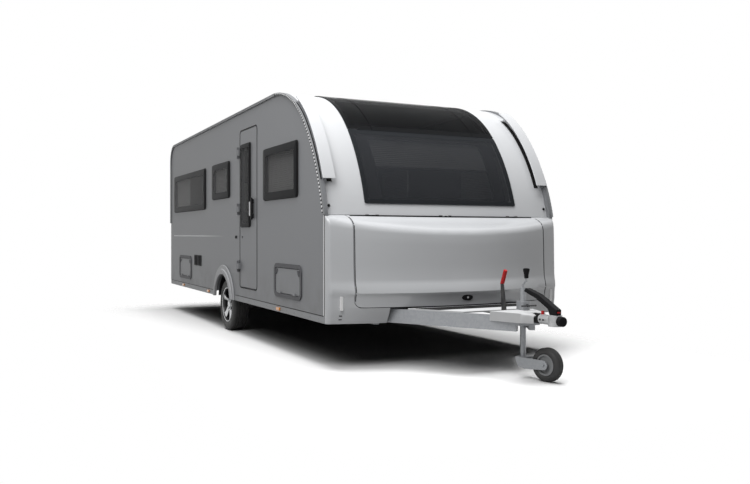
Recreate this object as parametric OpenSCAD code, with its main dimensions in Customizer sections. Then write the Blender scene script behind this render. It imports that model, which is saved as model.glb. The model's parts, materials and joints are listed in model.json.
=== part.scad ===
// Travel caravan on a single axle, standing on its two wheels and its jockey wheel.
// Frame: +X forward to the coupling, +Y left, +Z up, origin on the ground under the box's centre.
// Lengths are in millimetres. Distances named *_back are measured rearwards from the front wall edge.

/* [Body] */
// side wall from its front edge to the rear panel
body_l = 6150; // [5600:10:6800]
// over both side walls
body_w = 2460; // [2300:10:2550]
// roof height at the front
roof_front_z = 2573; // [2500:1:2650]
// roof height at the rear
roof_rear_z = 2530; // [2480:1:2640]
// lower edge of the skirt
skirt_z = 398; // [360:1:430]
// seam between skirt and wall
wall_z = 459; // [440:1:480]
// side wall thickness
wall_t = 32; // [24:1:40]
// roof, front and rear panel thickness
panel_t = 30; // [24:1:40]
// underside of the floor
floor_z = 520; // [500:1:540]
// floor thickness
floor_t = 40; // [30:1:50]
// radius between rear panel and roof
rear_r = 260; // [150:5:320]
// distance the rear moulding stands out
bumper_out = 40; // [20:1:80]
// width of a rear lamp
lamp_w = 330; // [250:5:360]
// height of a rear lamp
lamp_h = 92; // [70:1:110]
// lower edge of the rear lamps
lamp_z = 640; // [600:5:680]
// height of the roof hatches above the roof
dome_h = 38; // [30:1:60]

/* [Front curve] */
// seam between locker lid and upper panel
seam_z = 1335; // [1250:5:1400]
// upper panel's setback behind the front wall edge at the seam
panel_back = 65; // [50:1:90]
// lean of the upper panel at the seam, degrees
panel_lean = 11.7; // [8:0.1:15]
// lower radius of the upper panel
panel_r = 1822; // [1700:1:1950]
// angle where the lower radius ends, degrees
panel_turn = 40.2; // [36:0.1:44]
// wall edge's setback at the seam
edge_back = 22; // [15:1:40]
// lean of the wall's edge at the seam, degrees
edge_lean = 12; // [8:0.1:15]
// lower radius of the wall's edge
edge_r = 1850; // [1700:1:1950]
// angle where that radius ends, degrees
edge_turn = 42; // [36:0.1:44]
// half width of the front glass
glass_half = 818; // [700:1:900]
// lower edge of the front glass
glass_z = 1440; // [1400:1:1480]
// joint between front window and skylight
glass_joint_z = 2145; // [2050:1:2250]
// half width of the skylight's middle pane
sky_half = 565; // [450:5:650]
// upper edge of the skylight behind the front wall edge
glass_back = 1260; // [1150:5:1350]
// glass thickness
glass_t = 10; // [6:1:14]
// stand-off of the corner covers
cover_off = 68; // [50:1:90]
// width of the corner covers
cover_w = 120; // [80:1:150]
// lower end of the corner covers
cover_z = 1652; // [1550:1:1750]
// upper end of the corner covers behind the front wall edge
cover_back = 740; // [650:5:800]

/* [Locker lid] */
// shell thickness of lid and corners
shell_t = 22; // [16:1:30]
// lid's side edge inside the wall's outer face
lid_side = 215; // [170:5:330]
// lower edge of the lid
lid_z = 540; // [530:1:600]
// gap around lid, door and hatches
gap = 6; // [5:0.5:8]
// edge of the opening for the drawbar inside the wall's outer face
bay_side = 510; // [430:5:630]

/* [Entrance door] */
// rear edge of the door
door_back = 2480; // [2300:5:2600]
// door width
door_w = 600; // [550:5:650]
// sill of the door
door_z = 573; // [565:1:600]
// door height
door_h = 1754; // [1650:1:1780]
// hinge axis behind the door's rear edge
hinge_back = 33; // [25:1:45]
// hinge axis outside the wall
hinge_out = 26; // [24:1:34]
// radius of the hinge pins
pin_r = 4; // [3:0.5:5]

/* [Windows] */
// distance windows stand proud
pane_t = 18; // [10:1:20]
// corner radius of the windows
pane_r = 36; // [30:1:60]
// overlap of a window over its opening
pane_lap = 22; // [15:1:30]

/* [Wheels] */
// axle line behind the front wall edge
axle_back = 3150; // [3000:5:3300]
// tyre radius
tyre_r = 310; // [300:1:325]
// tyre width
tyre_w = 195; // [165:5:205]
// rim radius at the lip
rim_r = 203; // [190:1:215]
// outer tyre face to the wall's outer face
tyre_in = 30; // [20:1:60]
// spokes
spokes = 5; // [5:1:7]
// stub axle radius
stub_r = 28; // [22:1:32]
// wheel arch radius
arch_r = 345; // [335:1:365]
// width of the arch trim
arch_w = 112; // [80:1:130]
// distance the arch trim stands proud
arch_out = 34; // [25:1:40]

/* [Drawbar] */
// chassis rail inside the wall's outer face
rail_side = 490; // [470:5:580]
// rail height
rail_h = 150; // [120:5:160]
// rail width
rail_w = 45; // [35:1:60]
// drawbar arm height
arm_h = 120; // [100:5:130]
// reach of the drawbar arms before the front wall edge
arm_reach = 1130; // [1080:5:1180]
// half spacing of the arms at their front end
arm_half = 75; // [70:1:90]
// height of the hood above the arms
hood_h = 31; // [30:1:45]
// height of the handbrake lever's arm
lever_h = 236; // [200:2:260]
// coupling axis height
tow_z = 515; // [480:1:530]
// radius of the ball socket
ball_r = 25.25; // [25.05:0.05:25.4]
// ball socket before the arms' front end
ball_out = 370; // [350:5:400]
// coupling's nose before the ball socket
nose_out = 90; // [80:1:110]

/* [Jockey wheel] */
// post behind the arms' front end
post_in = 140; // [120:1:160]
// post's axis inside the arm's axis
post_gap = 65.4; // [62:0.1:70]
// outer tube radius
post_r = 24; // [20:1:25]
// trail of the jockey wheel
trail = 252; // [200:2:280]
// swivel angle as parked, degrees
swivel = 12; // [0:1:30]
// jockey wheel radius
jockey_r = 135; // [110:1:140]
// jockey wheel width
jockey_w = 84; // [60:1:90]

/* [Steadies] */
// length of a corner steady
steady_l = 430; // [380:5:450]
// steady inside the wall's outer face
steady_side = 330; // [280:5:350]
// radius of a steady's pivot pin
steady_pin_r = 8; // [6:0.5:10]

/* [Hidden] */
$fn = 96;
nose_reach = arm_reach + ball_out + nose_out;
front_x = (body_l + bumper_out + nose_reach)/2 - nose_reach;
rear_x = front_x - body_l;
half_w = body_w/2;
in_w = half_w - wall_t;
lid_half = half_w - lid_side;
bay_half = half_w - bay_side;
rail_half = half_w - rail_side;
steady_half = half_w - steady_side;
axle_x = front_x - axle_back;
wheel_y = half_w - tyre_in - tyre_w/2;
rail_z = floor_z - rail_h;
// arms sit just under the floor so that their tops stay apart from the rails'
arm_top = floor_z - 1;
arm_z = arm_top - arm_h;
// middle of a drawbar arm beside the centre line, at a distance behind its front end
function arm_y(b) = arm_half + b*(rail_half - arm_half)/arm_reach;
arm_end = front_x + arm_reach;
ball_x = arm_end + ball_out;
post_x = arm_end - post_in;
post_side = arm_y(post_in) - post_gap;
hinge_x = front_x - door_back - hinge_back;
joint_back = glass_back + 160;
// heights of the door's hinges, positions of the lid's hinges across
DOOR_HINGES = [800, 1450, 2090];
LID_HINGES = [255 - lid_half, 0, lid_half - 255];
lid_axis = [front_x - panel_back + 8, seam_z - 1];
hatch_y = -half_w - 10;
rear_c = [rear_x + rear_r, roof_rear_z - rear_r];
// windows: columns are rear edge back, width, sill height, height
SIDE_WIN = [[1628, 975, 1515, 525], [0.595*body_l, 0.1247*body_l, 1603, 431],
  [body_l - 293, 0.2997*body_l, 1496, 532]];
// rear window: columns are half width, width, sill height, height
REAR_WIN = [half_w - 510, body_w - 1020, 1500, 530];
// door window: columns as for the side windows
DOOR_WIN = [door_back - 40, door_w - 250, door_z + 675, door_h - 831];
// service hatches: columns are rear edge back, width, lower edge, height of the leaf
HATCH = [[1261, 662, 593, 242], [body_l - 660, 640, 570, 245]];
hatch_rim = 44;
// amber side markers: distance behind the front wall edge
MARKERS = [1181, axle_back + 716, body_l - 873];
// louvred vents: rear edges behind the front wall edge
VENTS = [body_l - 1530, body_l - 1740];
// roof hatches: columns are centre behind the front wall edge, length, width
ROOF_HATCHES = [[2150, 960, 720], [body_l - 1250, 520, 520]];
// cross members: distance behind the front wall edge
CROSS = [700, body_l - 1750, body_l - 350];
// steadies: distance behind the front wall edge
STEADY = [350, body_l - 500];
// knuckle radius and half length of the door's and lid's hinges
knuckle_r = 8;
knuckle_l = 30;
// front moulding sections from the seam down: columns are height at the middle, height at the ends,
// reach at the middle, reach at the ends, all before the front wall edge, drop of the inner face
FRONT = [
  [seam_z - 6, seam_z - 2, -panel_back + 4, -panel_back + 6, 18],
  [1262, 1318, 130, -14, 18],
  [1218, 1296, 226, 12, 16],
  [1190, 1270, 262, 30, 12],
  [1150, 1228, 278, 40, 6],
  [1060, 1100, 284, 45, 0],
  [900, 910, 290, 48, 0],
  [775, 778, 300, 52, 0],
  [735, 737, 318, 58, 0],
  [700, 701, 338, 66, 0],
  [660, 660, 348, 70, 0],
  [640, 640, 326, 62, 0],
  [620, 620, 318, 58, 0],
  [lid_z, lid_z, 300, 54, 0],
  [465, 465, 255, 40, 0],
  [skirt_z, skirt_z, 205, 22, 0]];
bow = 2.2;
corner_r = 50;

// shared shapes

function dir(a) = [cos(a), sin(a)];

// plate in the X-Z plane from y0 to y1, drawn in 2D as X and Z
module slab(y0, y1) {
  translate([0, y1, 0]) rotate([90, 0, 0]) linear_extrude(y1 - y0) children();
}

// plate in the Y-Z plane from x0 to x1, drawn in 2D as Y and Z
module sheet(x0, x1) {
  translate([x0, 0, 0]) rotate([90, 0, 90]) linear_extrude(x1 - x0) children();
}

module both_sides() {
  children();
  mirror([0, 1, 0]) children();
}

module rrect(x, z, w, h, r) {
  translate([x + r, z]) square([w - 2*r, h]);
  translate([x, z + r]) square([w, h - 2*r]);
  for (cx = [x + r, x + w - r], cz = [z + r, z + h - r]) translate([cx, cz]) circle(r);
}

module bar(p, q, r) {
  d = q - p;
  translate(p) rotate([0, acos(d[2]/norm(d)), atan2(d[1], d[0])]) cylinder(h = norm(d), r = r);
}

// second radius, centres and roof line angle of a front curve that runs tangent into the roof
function curve_r2(lean, r1, turn) = (roof_front_z - seam_z - r1*(sin(turn) - sin(lean)))/(1 - sin(turn));
function curve_c1(back, lean, r1) = [front_x - back, seam_z] - r1*dir(lean);
function roof_turn(c2, r2) = atan2(rear_c[1] - c2[1], rear_c[0] - c2[0]) - acos((r2 - rear_r)/norm(rear_c - c2));

// area behind a front curve of two tangent radii, under the roof line and before the rear radius
module front_area(back, lean, r1, turn, off) {
  r2 = curve_r2(lean, r1, turn);
  c1 = curve_c1(back, lean, r1);
  c2 = c1 + (r1 - r2)*dir(turn);
  end = roof_turn(c2, r2);
  start = asin((seam_z - c1[1])/(r1 + off));
  polygon(concat(
    [for (i = [0:16]) c1 + (r1 + off)*dir(start + (turn - start)*i/16)],
    [for (i = [1:28]) c2 + (r2 + off)*dir(turn + (end - turn)*i/28)],
    [for (i = [0:20]) rear_c + (rear_r + off)*dir(end + (180 - end)*i/20)],
    [[rear_x - off, seam_z]]));
}

module panel_area(off) front_area(panel_back, panel_lean, panel_r, panel_turn, off);

module edge_area(off) front_area(edge_back, edge_lean, edge_r, edge_turn, off);

module arch_area(r) translate([axle_x, tyre_r + 25]) circle(r);

// outline of a side wall with its windows and wheel arch cut
module wall_outline(wins) {
  difference() {
    union() {
      edge_area(0);
      translate([rear_x, wall_z]) square([body_l - edge_back, seam_z - wall_z]);
    }
    for (w = wins)
      rrect(front_x - w[0] + pane_lap, w[2] + pane_lap, w[1] - 2*pane_lap, w[3] - 2*pane_lap,
        pane_r - pane_lap);
    arch_area(arch_r + 15);
  }
}

module hatch_hole(i, grow) {
  h = HATCH[i];
  rrect(front_x - h[0] - grow, h[2] - grow, h[1] + 2*grow, h[3] + 2*grow, 30 + grow);
}

// front moulding as one closed skin over the full width, from its table of sections
module front_skin() {
  n_mid = 24;
  n_cor = 5;
  y_mid = half_w - corner_r;
  xj = -edge_back;
  // columns across: angle round the corner and side position
  cols = concat([for (i = [0:n_cor - 1]) [-1, 90 - 90*i/n_cor]], [for (i = [0:n_mid]) [0, 2*i/n_mid - 1]],
    [for (i = [1:n_cor]) [1, 90*i/n_cor]]);
  nc = len(cols);
  nr = len(FRONT);
  function plan(row, k) = row[3] + (row[2] - row[3])*(1 - pow(abs(k), bow));
  function high(row, k) = row[0] + (row[1] - row[0])*pow(abs(k), bow);
  function skin_pt(row, c, t) = c[0] == 0
    ? [front_x + plan(row, c[1]) - t, c[1]*y_mid, high(row, c[1]) - row[4]*t/shell_t]
    : [front_x + xj + (row[3] - xj)*cos(c[1]) - t*cos(c[1]), c[0]*(y_mid + (corner_r - t)*sin(c[1])),
      row[1] - row[4]*t/shell_t];
  pts = concat([for (row = FRONT, c = cols) skin_pt(row, c, 0)],
    [for (row = FRONT, c = cols) skin_pt(row, c, shell_t)]);
  m = nr*nc;
  faces = concat(
    [for (r = [0:nr - 2], c = [0:nc - 2], h = [0, 1]) h == 0 ? [r*nc + c, r*nc + c + 1, (r + 1)*nc + c + 1]
      : [r*nc + c, (r + 1)*nc + c + 1, (r + 1)*nc + c]],
    [for (r = [0:nr - 2], c = [0:nc - 2], h = [0, 1]) h == 0 ? [m + r*nc + c, m + (r + 1)*nc + c + 1, m + r*nc + c + 1]
      : [m + r*nc + c, m + (r + 1)*nc + c, m + (r + 1)*nc + c + 1]],
    [for (c = [0:nc - 2], h = [0, 1]) h == 0 ? [c, m + c, m + c + 1] : [c, m + c + 1, c + 1]],
    [for (c = [0:nc - 2], h = [0, 1]) let (b = (nr - 1)*nc) h == 0 ? [b + c, m + b + c + 1, m + b + c]
      : [b + c, b + c + 1, m + b + c + 1]],
    [for (r = [0:nr - 2], h = [0, 1]) let (a = r*nc, b = (r + 1)*nc) h == 0 ? [a, b, m + b] : [a, m + b, m + a]],
    [for (r = [0:nr - 2], h = [0, 1]) let (a = r*nc + nc - 1, b = (r + 1)*nc + nc - 1) h == 0 ? [a, m + b, b]
      : [a, m + a, m + b]]);
  polyhedron(points = pts, faces = faces, convexity = 6);
}

module lid_prism(grow) {
  sheet(front_x - panel_back + gap - grow, front_x + 700)
    rrect(-lid_half - grow, lid_z - grow, 2*(lid_half + grow), 1400, 60 + grow);
}

// body panels

module floor_panel() {
  color([0.25, 0.25, 0.26]) difference() {
    translate([rear_x + panel_t, -in_w, floor_z])
      cube([body_l - panel_t - panel_back - panel_t, 2*in_w, floor_t]);
    both_sides() translate([axle_x - arch_r - 33, in_w - tyre_w - 100, floor_z - 1])
      cube([2*arch_r + 66, tyre_w + 110, floor_t + 2]);
  }
}

module side_wall_right() {
  color([0.5, 0.51, 0.52]) {
    slab(-half_w, -in_w) difference() {
      wall_outline(SIDE_WIN);
      rrect(front_x - door_back - gap, door_z - gap, door_w + 2*gap, door_h + 2*gap, 50);
      for (i = [0:len(HATCH) - 1]) hatch_hole(i, gap);
    }
    for (z = DOOR_HINGES) {
      for (s = [-1, 1]) {
        translate([hinge_x, -half_w - hinge_out, z + s*48]) cylinder(h = 34, r = knuckle_r, center = true);
        translate([hinge_x - 20, -half_w - hinge_out, z + s*48 - 17]) cube([20, hinge_out + 3, 34]);
      }
      translate([hinge_x, -half_w - hinge_out, z]) cylinder(h = 80, r = pin_r, center = true);
    }
  }
}

module side_wall_left() {
  color([0.5, 0.51, 0.52]) slab(in_w, half_w) wall_outline(SIDE_WIN);
}

module roof_panel() {
  color([0.8, 0.8, 0.81]) slab(-in_w, in_w) intersection() {
    difference() {
      panel_area(0);
      panel_area(-panel_t);
    }
    translate([rear_x + rear_r, roof_rear_z - 200]) square([body_l - rear_r - joint_back, 400]);
  }
}

module rear_wall() {
  color([0.62, 0.63, 0.64]) difference() {
    slab(-in_w, in_w) {
      intersection() {
        difference() {
          panel_area(0);
          panel_area(-panel_t);
        }
        translate([rear_x - 10, seam_z]) square([rear_r + 10, 1500]);
      }
      translate([rear_x, skirt_z + 20]) square([panel_t, seam_z - skirt_z - 20]);
    }
    sheet(rear_x - 50, rear_x + 100) rrect(-REAR_WIN[0] + pane_lap, REAR_WIN[2] + pane_lap,
      REAR_WIN[1] - 2*pane_lap, REAR_WIN[3] - 2*pane_lap, pane_r - pane_lap);
  }
}

// opening of the front glass in the panel, seen from the front
module glass_front(grow) {
  rrect(-glass_half - grow, glass_z - grow, 2*(glass_half + grow), roof_front_z + 400 - glass_z, 60);
}

module front_panel() {
  color([0.74, 0.75, 0.76]) difference() {
    slab(-in_w, in_w) intersection() {
      difference() {
        panel_area(0);
        panel_area(-panel_t);
      }
      translate([front_x - joint_back, seam_z]) square([joint_back + 100, 1600]);
    }
    intersection() {
      sheet(front_x - glass_back, front_x + 200) glass_front(-25);
      translate([front_x - glass_back + 25, -body_w, 0]) cube([body_l, 2*body_w, body_l]);
    }
  }
}

module front_glass() {
  color([0.1, 0.11, 0.12]) {
    intersection() {
      slab(-glass_half, glass_half) difference() {
        panel_area(glass_t);
        panel_area(0);
      }
      sheet(front_x - glass_back, front_x + 200)
        rrect(-glass_half, glass_z, 2*glass_half, glass_joint_z - glass_z - 3, 14);
    }
    for (s = [[-glass_half, -sky_half - 2], [2 - sky_half, sky_half - 2], [sky_half + 2, glass_half]])
      intersection() {
        slab(s[0], s[1]) difference() {
          panel_area(glass_t);
          panel_area(0);
        }
        translate([front_x - glass_back, -body_w, glass_joint_z + 3]) cube([body_l, 2*body_w, body_l]);
      }
  }
}

module locker_box() {
  color([0.2, 0.2, 0.21]) {
    for (y = LID_HINGES) {
      for (s = [-1, 1]) {
        lid_knuckle(y + s*48 - 17, y + s*48 + 17);
        translate([front_x - panel_back - 5, y + s*48 - 17, lid_axis[1] - 12]) cube([13, 34, 12]);
      }
      translate([lid_axis[0], y + 40, lid_axis[1]]) rotate([90, 0, 0]) cylinder(h = 80, r = pin_r - 1);
    }
    translate([front_x - panel_back - panel_t, -in_w, floor_z])
      cube([panel_t, 2*in_w, seam_z - floor_z]);
    translate([0, 0, floor_z]) linear_extrude(14) polygon(concat([[front_x - panel_back, lid_half - 15],
      [front_x - panel_back, 15 - lid_half]], [for (k = [-1:0.125:1])
        [front_x + 40 + 205*(1 - pow(abs(k), bow)), (lid_half - 15)*k]]));
  }
}

module front_corners() {
  color([0.72, 0.73, 0.74]) difference() {
    front_skin();
    translate([front_x - panel_back - 500, -2000, 0]) cube([500, 4000, 3000]);
    lid_prism(gap);
    both_sides() {
      reflector(0.3);
      translate([front_x - edge_back - 500, in_w - 0.3, 0]) cube([500.2, wall_t + 10, 3000]);
    }
    translate([front_x - 300, -bay_half, skirt_z - 50]) cube([1000, 2*bay_half, lid_z - skirt_z + 60]);
  }
}

module corner_covers() {
  color([0.82, 0.83, 0.84]) both_sides() {
    slab(half_w - 12 - cover_w, half_w - 12) intersection() {
      difference() {
        panel_area(cover_off);
        panel_area(cover_off - 12);
      }
      translate([front_x - cover_back, cover_z]) square([2*cover_back, body_l]);
    }
    slab(half_w - 12 - 62, in_w) intersection() {
      difference() {
        panel_area(cover_off - 11);
        panel_area(0);
      }
      translate([front_x - cover_back, cover_z + 14]) square([2*cover_back, body_l]);
    }
  }
}

module awning_rails() {
  groove_l = body_l - rear_r - joint_back - 90;
  color([0.6, 0.61, 0.62]) both_sides() difference() {
    slab(half_w, half_w + 16) difference() {
      edge_area(0);
      edge_area(-26);
      translate([rear_x - 20, 0]) square([body_l + 100, seam_z + 1]);
    }
    translate([rear_x + rear_r + 20, half_w + 8, 0]) rotate([0, atan2(roof_front_z - roof_rear_z,
      body_l - rear_r - joint_back)*-1, 0]) translate([0, 0, roof_rear_z - 13]) {
        rotate([0, 90, 0]) cylinder(h = groove_l, r = 4.5);
        translate([0, 2, -1.5]) cube([groove_l, 8, 3]);
      }
  }
}

module skirts() {
  color([0.55, 0.56, 0.57]) both_sides() slab(half_w - 14, half_w + 2) difference() {
    translate([rear_x + 20, skirt_z]) square([body_l - edge_back - 22, wall_z - skirt_z]);
    arch_area(arch_r + arch_w);
  }
}

module arch_trims() {
  color([0.66, 0.67, 0.68]) both_sides() {
    slab(half_w, half_w + arch_out) difference() {
      arch_area(arch_r + arch_w - 52);
      arch_area(arch_r);
      translate([axle_x - 1000, -400]) square([2000, skirt_z + 400]);
    }
    slab(half_w, half_w + arch_out - 16) difference() {
      arch_area(arch_r + arch_w);
      arch_area(arch_r + 20);
      translate([axle_x - 1000, -400]) square([2000, skirt_z + 400]);
    }
  }
}

module arch_liners() {
  color([0.06, 0.06, 0.06]) both_sides() {
    slab(in_w - tyre_w - 98, in_w) difference() {
      arch_area(arch_r + 27);
      arch_area(arch_r + 15);
      translate([axle_x - 1000, -400]) square([2000, skirt_z + 400]);
    }
    slab(in_w - tyre_w - 98, in_w - tyre_w - 90) difference() {
      arch_area(arch_r + 16);
      translate([axle_x - 1000, -400]) square([2000, floor_z + 400]);
    }
  }
}

module side_panes(wins) {
  for (w = wins) rrect(front_x - w[0], w[2], w[1], w[3], pane_r);
}

module windows() {
  color([0.12, 0.13, 0.14]) {
    slab(-half_w - pane_t, -half_w) side_panes(SIDE_WIN);
    slab(half_w, half_w + pane_t) side_panes(SIDE_WIN);
    sheet(rear_x - pane_t, rear_x) rrect(-REAR_WIN[0], REAR_WIN[2], REAR_WIN[1], REAR_WIN[3], pane_r);
  }
}

module blinds() {
  color([0.55, 0.55, 0.54]) {
    for (w = SIDE_WIN) translate([front_x - w[0] + 5, -in_w, w[2] + 20]) cube([w[1] - 10, 6, w[3] - 40]);
    for (w = SIDE_WIN) translate([front_x - w[0] + 5, in_w - 6, w[2] + 20]) cube([w[1] - 10, 6, w[3] - 40]);
    translate([rear_x + panel_t, -REAR_WIN[0] + 5, REAR_WIN[2] + 20]) cube([6, REAR_WIN[1] - 10, REAR_WIN[3] - 40]);
  }
}

module hatch_frames() {
  color([0.3, 0.31, 0.32]) for (i = [0:len(HATCH) - 1]) {
    h = HATCH[i];
    difference() {
      slab(hatch_y, -half_w) difference() {
        hatch_hole(i, hatch_rim);
        hatch_hole(i, gap);
      }
      for (k = [0.2, 0.8]) translate([front_x - h[0] + k*h[1], hatch_y, h[2] - 3]) rotate([0, 90, 0])
        cylinder(h = 54, r = 6.5, center = true);
    }
    for (k = [0.2, 0.8]) translate([front_x - h[0] + k*h[1], hatch_y, h[2] - 3]) rotate([0, 90, 0]) {
      for (s = [-1, 1]) translate([0, 0, s*41]) cylinder(h = 30, r = 5, center = true);
      cylinder(h = 70, r = 2.5, center = true);
    }
  }
}

module vents() {
  color([0.05, 0.05, 0.05]) for (i = [0, 1]) difference() {
    slab(-half_w - 8, -half_w) rrect(front_x - VENTS[i], 738, 160, 144, 14);
    for (k = [0:4]) translate([front_x - VENTS[i] + 20 + k*26, -half_w - 9, 752]) cube([14, 6, 116]);
  }
}

module side_markers() {
  color([0.9, 0.45, 0.05]) both_sides() slab(half_w + 2, half_w + 16)
    for (b = MARKERS) rrect(front_x - b - 45, (skirt_z + wall_z)/2 - 15, 90, 30, 8);
}

module front_reflectors() {
  color([0.9, 0.9, 0.9]) both_sides() reflector(0);
}

module reflector(grow) {
  sheet(front_x + 74 - grow, front_x + 94 + 40*grow)
    rrect(half_w - 123 - grow, lid_z - 26 - grow, 26 + 2*grow, 122 + 2*grow, 6);
}

module rear_lamps() {
  color([0.6, 0.03, 0.03]) both_sides() sheet(rear_x - bumper_out, rear_x - bumper_out + 22)
    rrect(half_w - 70 - lamp_w, lamp_z, lamp_w, lamp_h, 40);
}

module rear_bumper() {
  color([0.66, 0.67, 0.68]) difference() {
    sheet(rear_x - bumper_out, rear_x) rrect(-half_w + 14, skirt_z, body_w - 28, 400, 50);
    both_sides() sheet(rear_x - bumper_out - 1, rear_x - bumper_out + 22) rrect(half_w - 71 - lamp_w,
      lamp_z - 1, lamp_w + 2, lamp_h + 2, 41);
  }
}

module rooflights() {
  c1 = curve_c1(panel_back, panel_lean, panel_r);
  r2 = curve_r2(panel_lean, panel_r, panel_turn);
  c2 = c1 + (panel_r - r2)*dir(panel_turn);
  end = roof_turn(c2, r2);
  top = c2 + r2*dir(end);
  color([0.86, 0.86, 0.85]) translate([top[0], 0, top[1]]) rotate([0, 90 - end, 0])
    for (r = ROOF_HATCHES) translate([front_x - top[0] - r[0], 0, 0.05]) {
      linear_extrude(dome_h/2) rrect(-r[1]/2, -r[2]/2, r[1], r[2], 70);
      linear_extrude(dome_h) rrect(-r[1]/2 + 25, -r[2]/2 + 25, r[1] - 50, r[2] - 50, 60);
    }
}

// chassis and drawbar

module chassis_frame() {
  arm = [arm_reach, arm_half - rail_half];
  color([0.62, 0.63, 0.64]) {
    both_sides() {
      translate([rear_x + 120, rail_half - rail_w/2, rail_z]) difference() {
        cube([body_l - 125, rail_w, rail_h]);
        for (i = [0:6]) translate([500 + 640*i, -1, rail_h/2]) rotate([-90, 0, 0])
          cylinder(h = rail_w + 2, r = 42);
      }
      translate([front_x, rail_half, arm_z]) rotate([0, 0, atan2(arm[1], arm[0])])
        translate([-26, -rail_w/2, 0]) cube([norm(arm) + 26, rail_w, arm_h]);
    }
    for (b = CROSS) translate([front_x - b - 25, -rail_half, floor_z - 90])
      cube([50, 2*rail_half, 70]);
    translate([arm_end - 30, -arm_half - 20, arm_top - 71]) cube([100, 2*arm_half + 40, 70]);
    translate([arm_end - 340, -42, arm_top - 69]) cube([370, 84, 69]);
    for (b = STEADY, s = [-1, 1]) translate([front_x - b, s*steady_half, 0]) {
      translate([-40, -40, floor_z - 22]) cube([80, 80, 22]);
      for (k = [-1, 1]) translate([-28, k*35 - 5, floor_z - 104]) cube([56, 10, 90]);
      translate([0, 38, floor_z - 80]) rotate([90, 0, 0]) cylinder(h = 76, r = steady_pin_r);
    }
  }
}

module axle() {
  hub_y = wheel_y - tyre_w/2 - 70;
  tube_x = axle_x + 175;
  color([0.3, 0.31, 0.32]) {
    translate([tube_x, hub_y + 30, rail_z - 52]) rotate([90, 0, 0]) cylinder(h = 2*hub_y + 60, r = 45);
    both_sides() {
      translate([tube_x - 60, rail_half - 25, rail_z - 60]) cube([120, 50, 60]);
      slab(hub_y, hub_y + 42) difference() {
        union() {
          translate([tube_x, rail_z - 52]) circle(62);
          translate([axle_x, tyre_r]) circle(52);
          polygon([[tube_x + 10, rail_z - 2], [tube_x, rail_z - 112], [axle_x, tyre_r - 50],
            [axle_x - 5, tyre_r + 50]]);
        }
        translate([axle_x, tyre_r]) circle(5);
      }
      translate([axle_x, wheel_y + tyre_w/2 - 38, tyre_r]) rotate([90, 0, 0])
        cylinder(h = wheel_y + tyre_w/2 - 38 - hub_y, r = stub_r);
      translate([axle_x, wheel_y + 8, tyre_r]) rotate([90, 0, 0]) cylinder(h = 75, r = 128);
    }
  }
}

module drawbar_cover() {
  color([0.85, 0.85, 0.86]) {
    translate([0, 0, arm_top]) linear_extrude(12) polygon([for (p = [[arm_reach - 300, -1], [385, -1], [385, 1],
      [arm_reach - 300, 1]]) [arm_end - p[0], p[1]*(arm_y(p[0]) + 20)]]);
    difference() {
      translate([0, 0, arm_top - 45]) linear_extrude(hood_h + 45) hood_area(0);
      translate([0, 0, arm_top - 50]) linear_extrude(hood_h + 44) hood_area(6);
      translate([post_x, post_side, arm_top]) cylinder(h = 100, r = post_r + 14);
    }
    // ribs under the hood that stand on the overrun housing
    for (b = [100, -10]) translate([arm_end - b, -30, arm_top]) cube([8, 60, hood_h - 2]);
  }
}

// plan of the hood over the overrun housing
module hood_area(t) {
  polygon([for (p = [[-170, -215], [105, -116], [105, 116], [-170, 215]])
    [arm_end + p[0] + (p[0] < 0 ? -t/2 : 2*t), p[1] - sign(p[1])*t]]);
}

module overrun_gaiter() {
  color([0.05, 0.05, 0.05]) translate([arm_end + 70, 0, tow_z]) rotate([0, 90, 0]) {
    cylinder(h = 140, r = 27);
    for (k = [0:5]) translate([0, 0, 66 + 12*k]) cylinder(h = 7, r = 40);
  }
}

module coupling_head() {
  color([0.7, 0.71, 0.72]) difference() {
    union() {
      translate([arm_end + 210, 0, tow_z]) rotate([0, 90, 0]) cylinder(h = ball_out - 240, r = 38);
      translate([ball_x, 0, tow_z - 42]) cylinder(h = 84, r = 52);
      translate([ball_x, 0, tow_z]) rotate([0, 90, 0]) cylinder(h = nose_out, r = 34);
    }
    translate([ball_x, 0, tow_z - 60]) cylinder(h = 62, r = ball_r);
    translate([ball_x, 0, tow_z + 1]) cylinder(h = 18, r1 = ball_r - 2, r2 = 12);
  }
}

module coupling_handle() {
  color([0.05, 0.05, 0.05]) {
    slab(-26, 26) translate([ball_x, tow_z]) polygon([[-350, 200], [-328, 227], [-170, 185], [40, 85], [40, 42],
      [-40, 42], [-60, 85], [-200, 153]]);
  }
}

module handbrake_lever() {
  color([0.25, 0.25, 0.26]) {
    slab(-6, 6) translate([arm_end, arm_top])
      polygon([[-300, 0], [-240, 0], [-280, lever_h], [-315, lever_h]]);
  }
}

module handbrake_grip() {
  color([0.75, 0.05, 0.05]) translate([arm_end, 0, arm_top + lever_h]) difference() {
    bar([-302, 0, -10], [-250, 0, 115], 17);
    translate([-400, -100, -100]) cube([200, 200, 100]);
  }
}

module jockey_post() {
  color([0.7, 0.71, 0.72]) translate([post_x, post_side, 0]) {
    difference() {
      union() {
        translate([0, 0, 200]) cylinder(h = 530, r = post_r);
        translate([0, 0, arm_top - 29]) cylinder(h = hood_h + 30, r = post_r + 6);
        translate([-46, -post_r - 7, arm_top + hood_h]) cube([92, 62, 70]);
        translate([-25, 0, arm_top]) cube([50, 75, 8]);
      }
      translate([0, 0, 199]) cylinder(h = 322, r = post_r - 4);
    }
    bar([0, 0, 725], [0, 0, 760], 9);
    bar([0, 0, 750], [62, -14, 794], 6);
    bar([62, -14, 780], [62, -14, 812], 8);
    translate([62, -14, 812]) cylinder(h = 78, r = 15);
  }
}

// moving pieces

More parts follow.
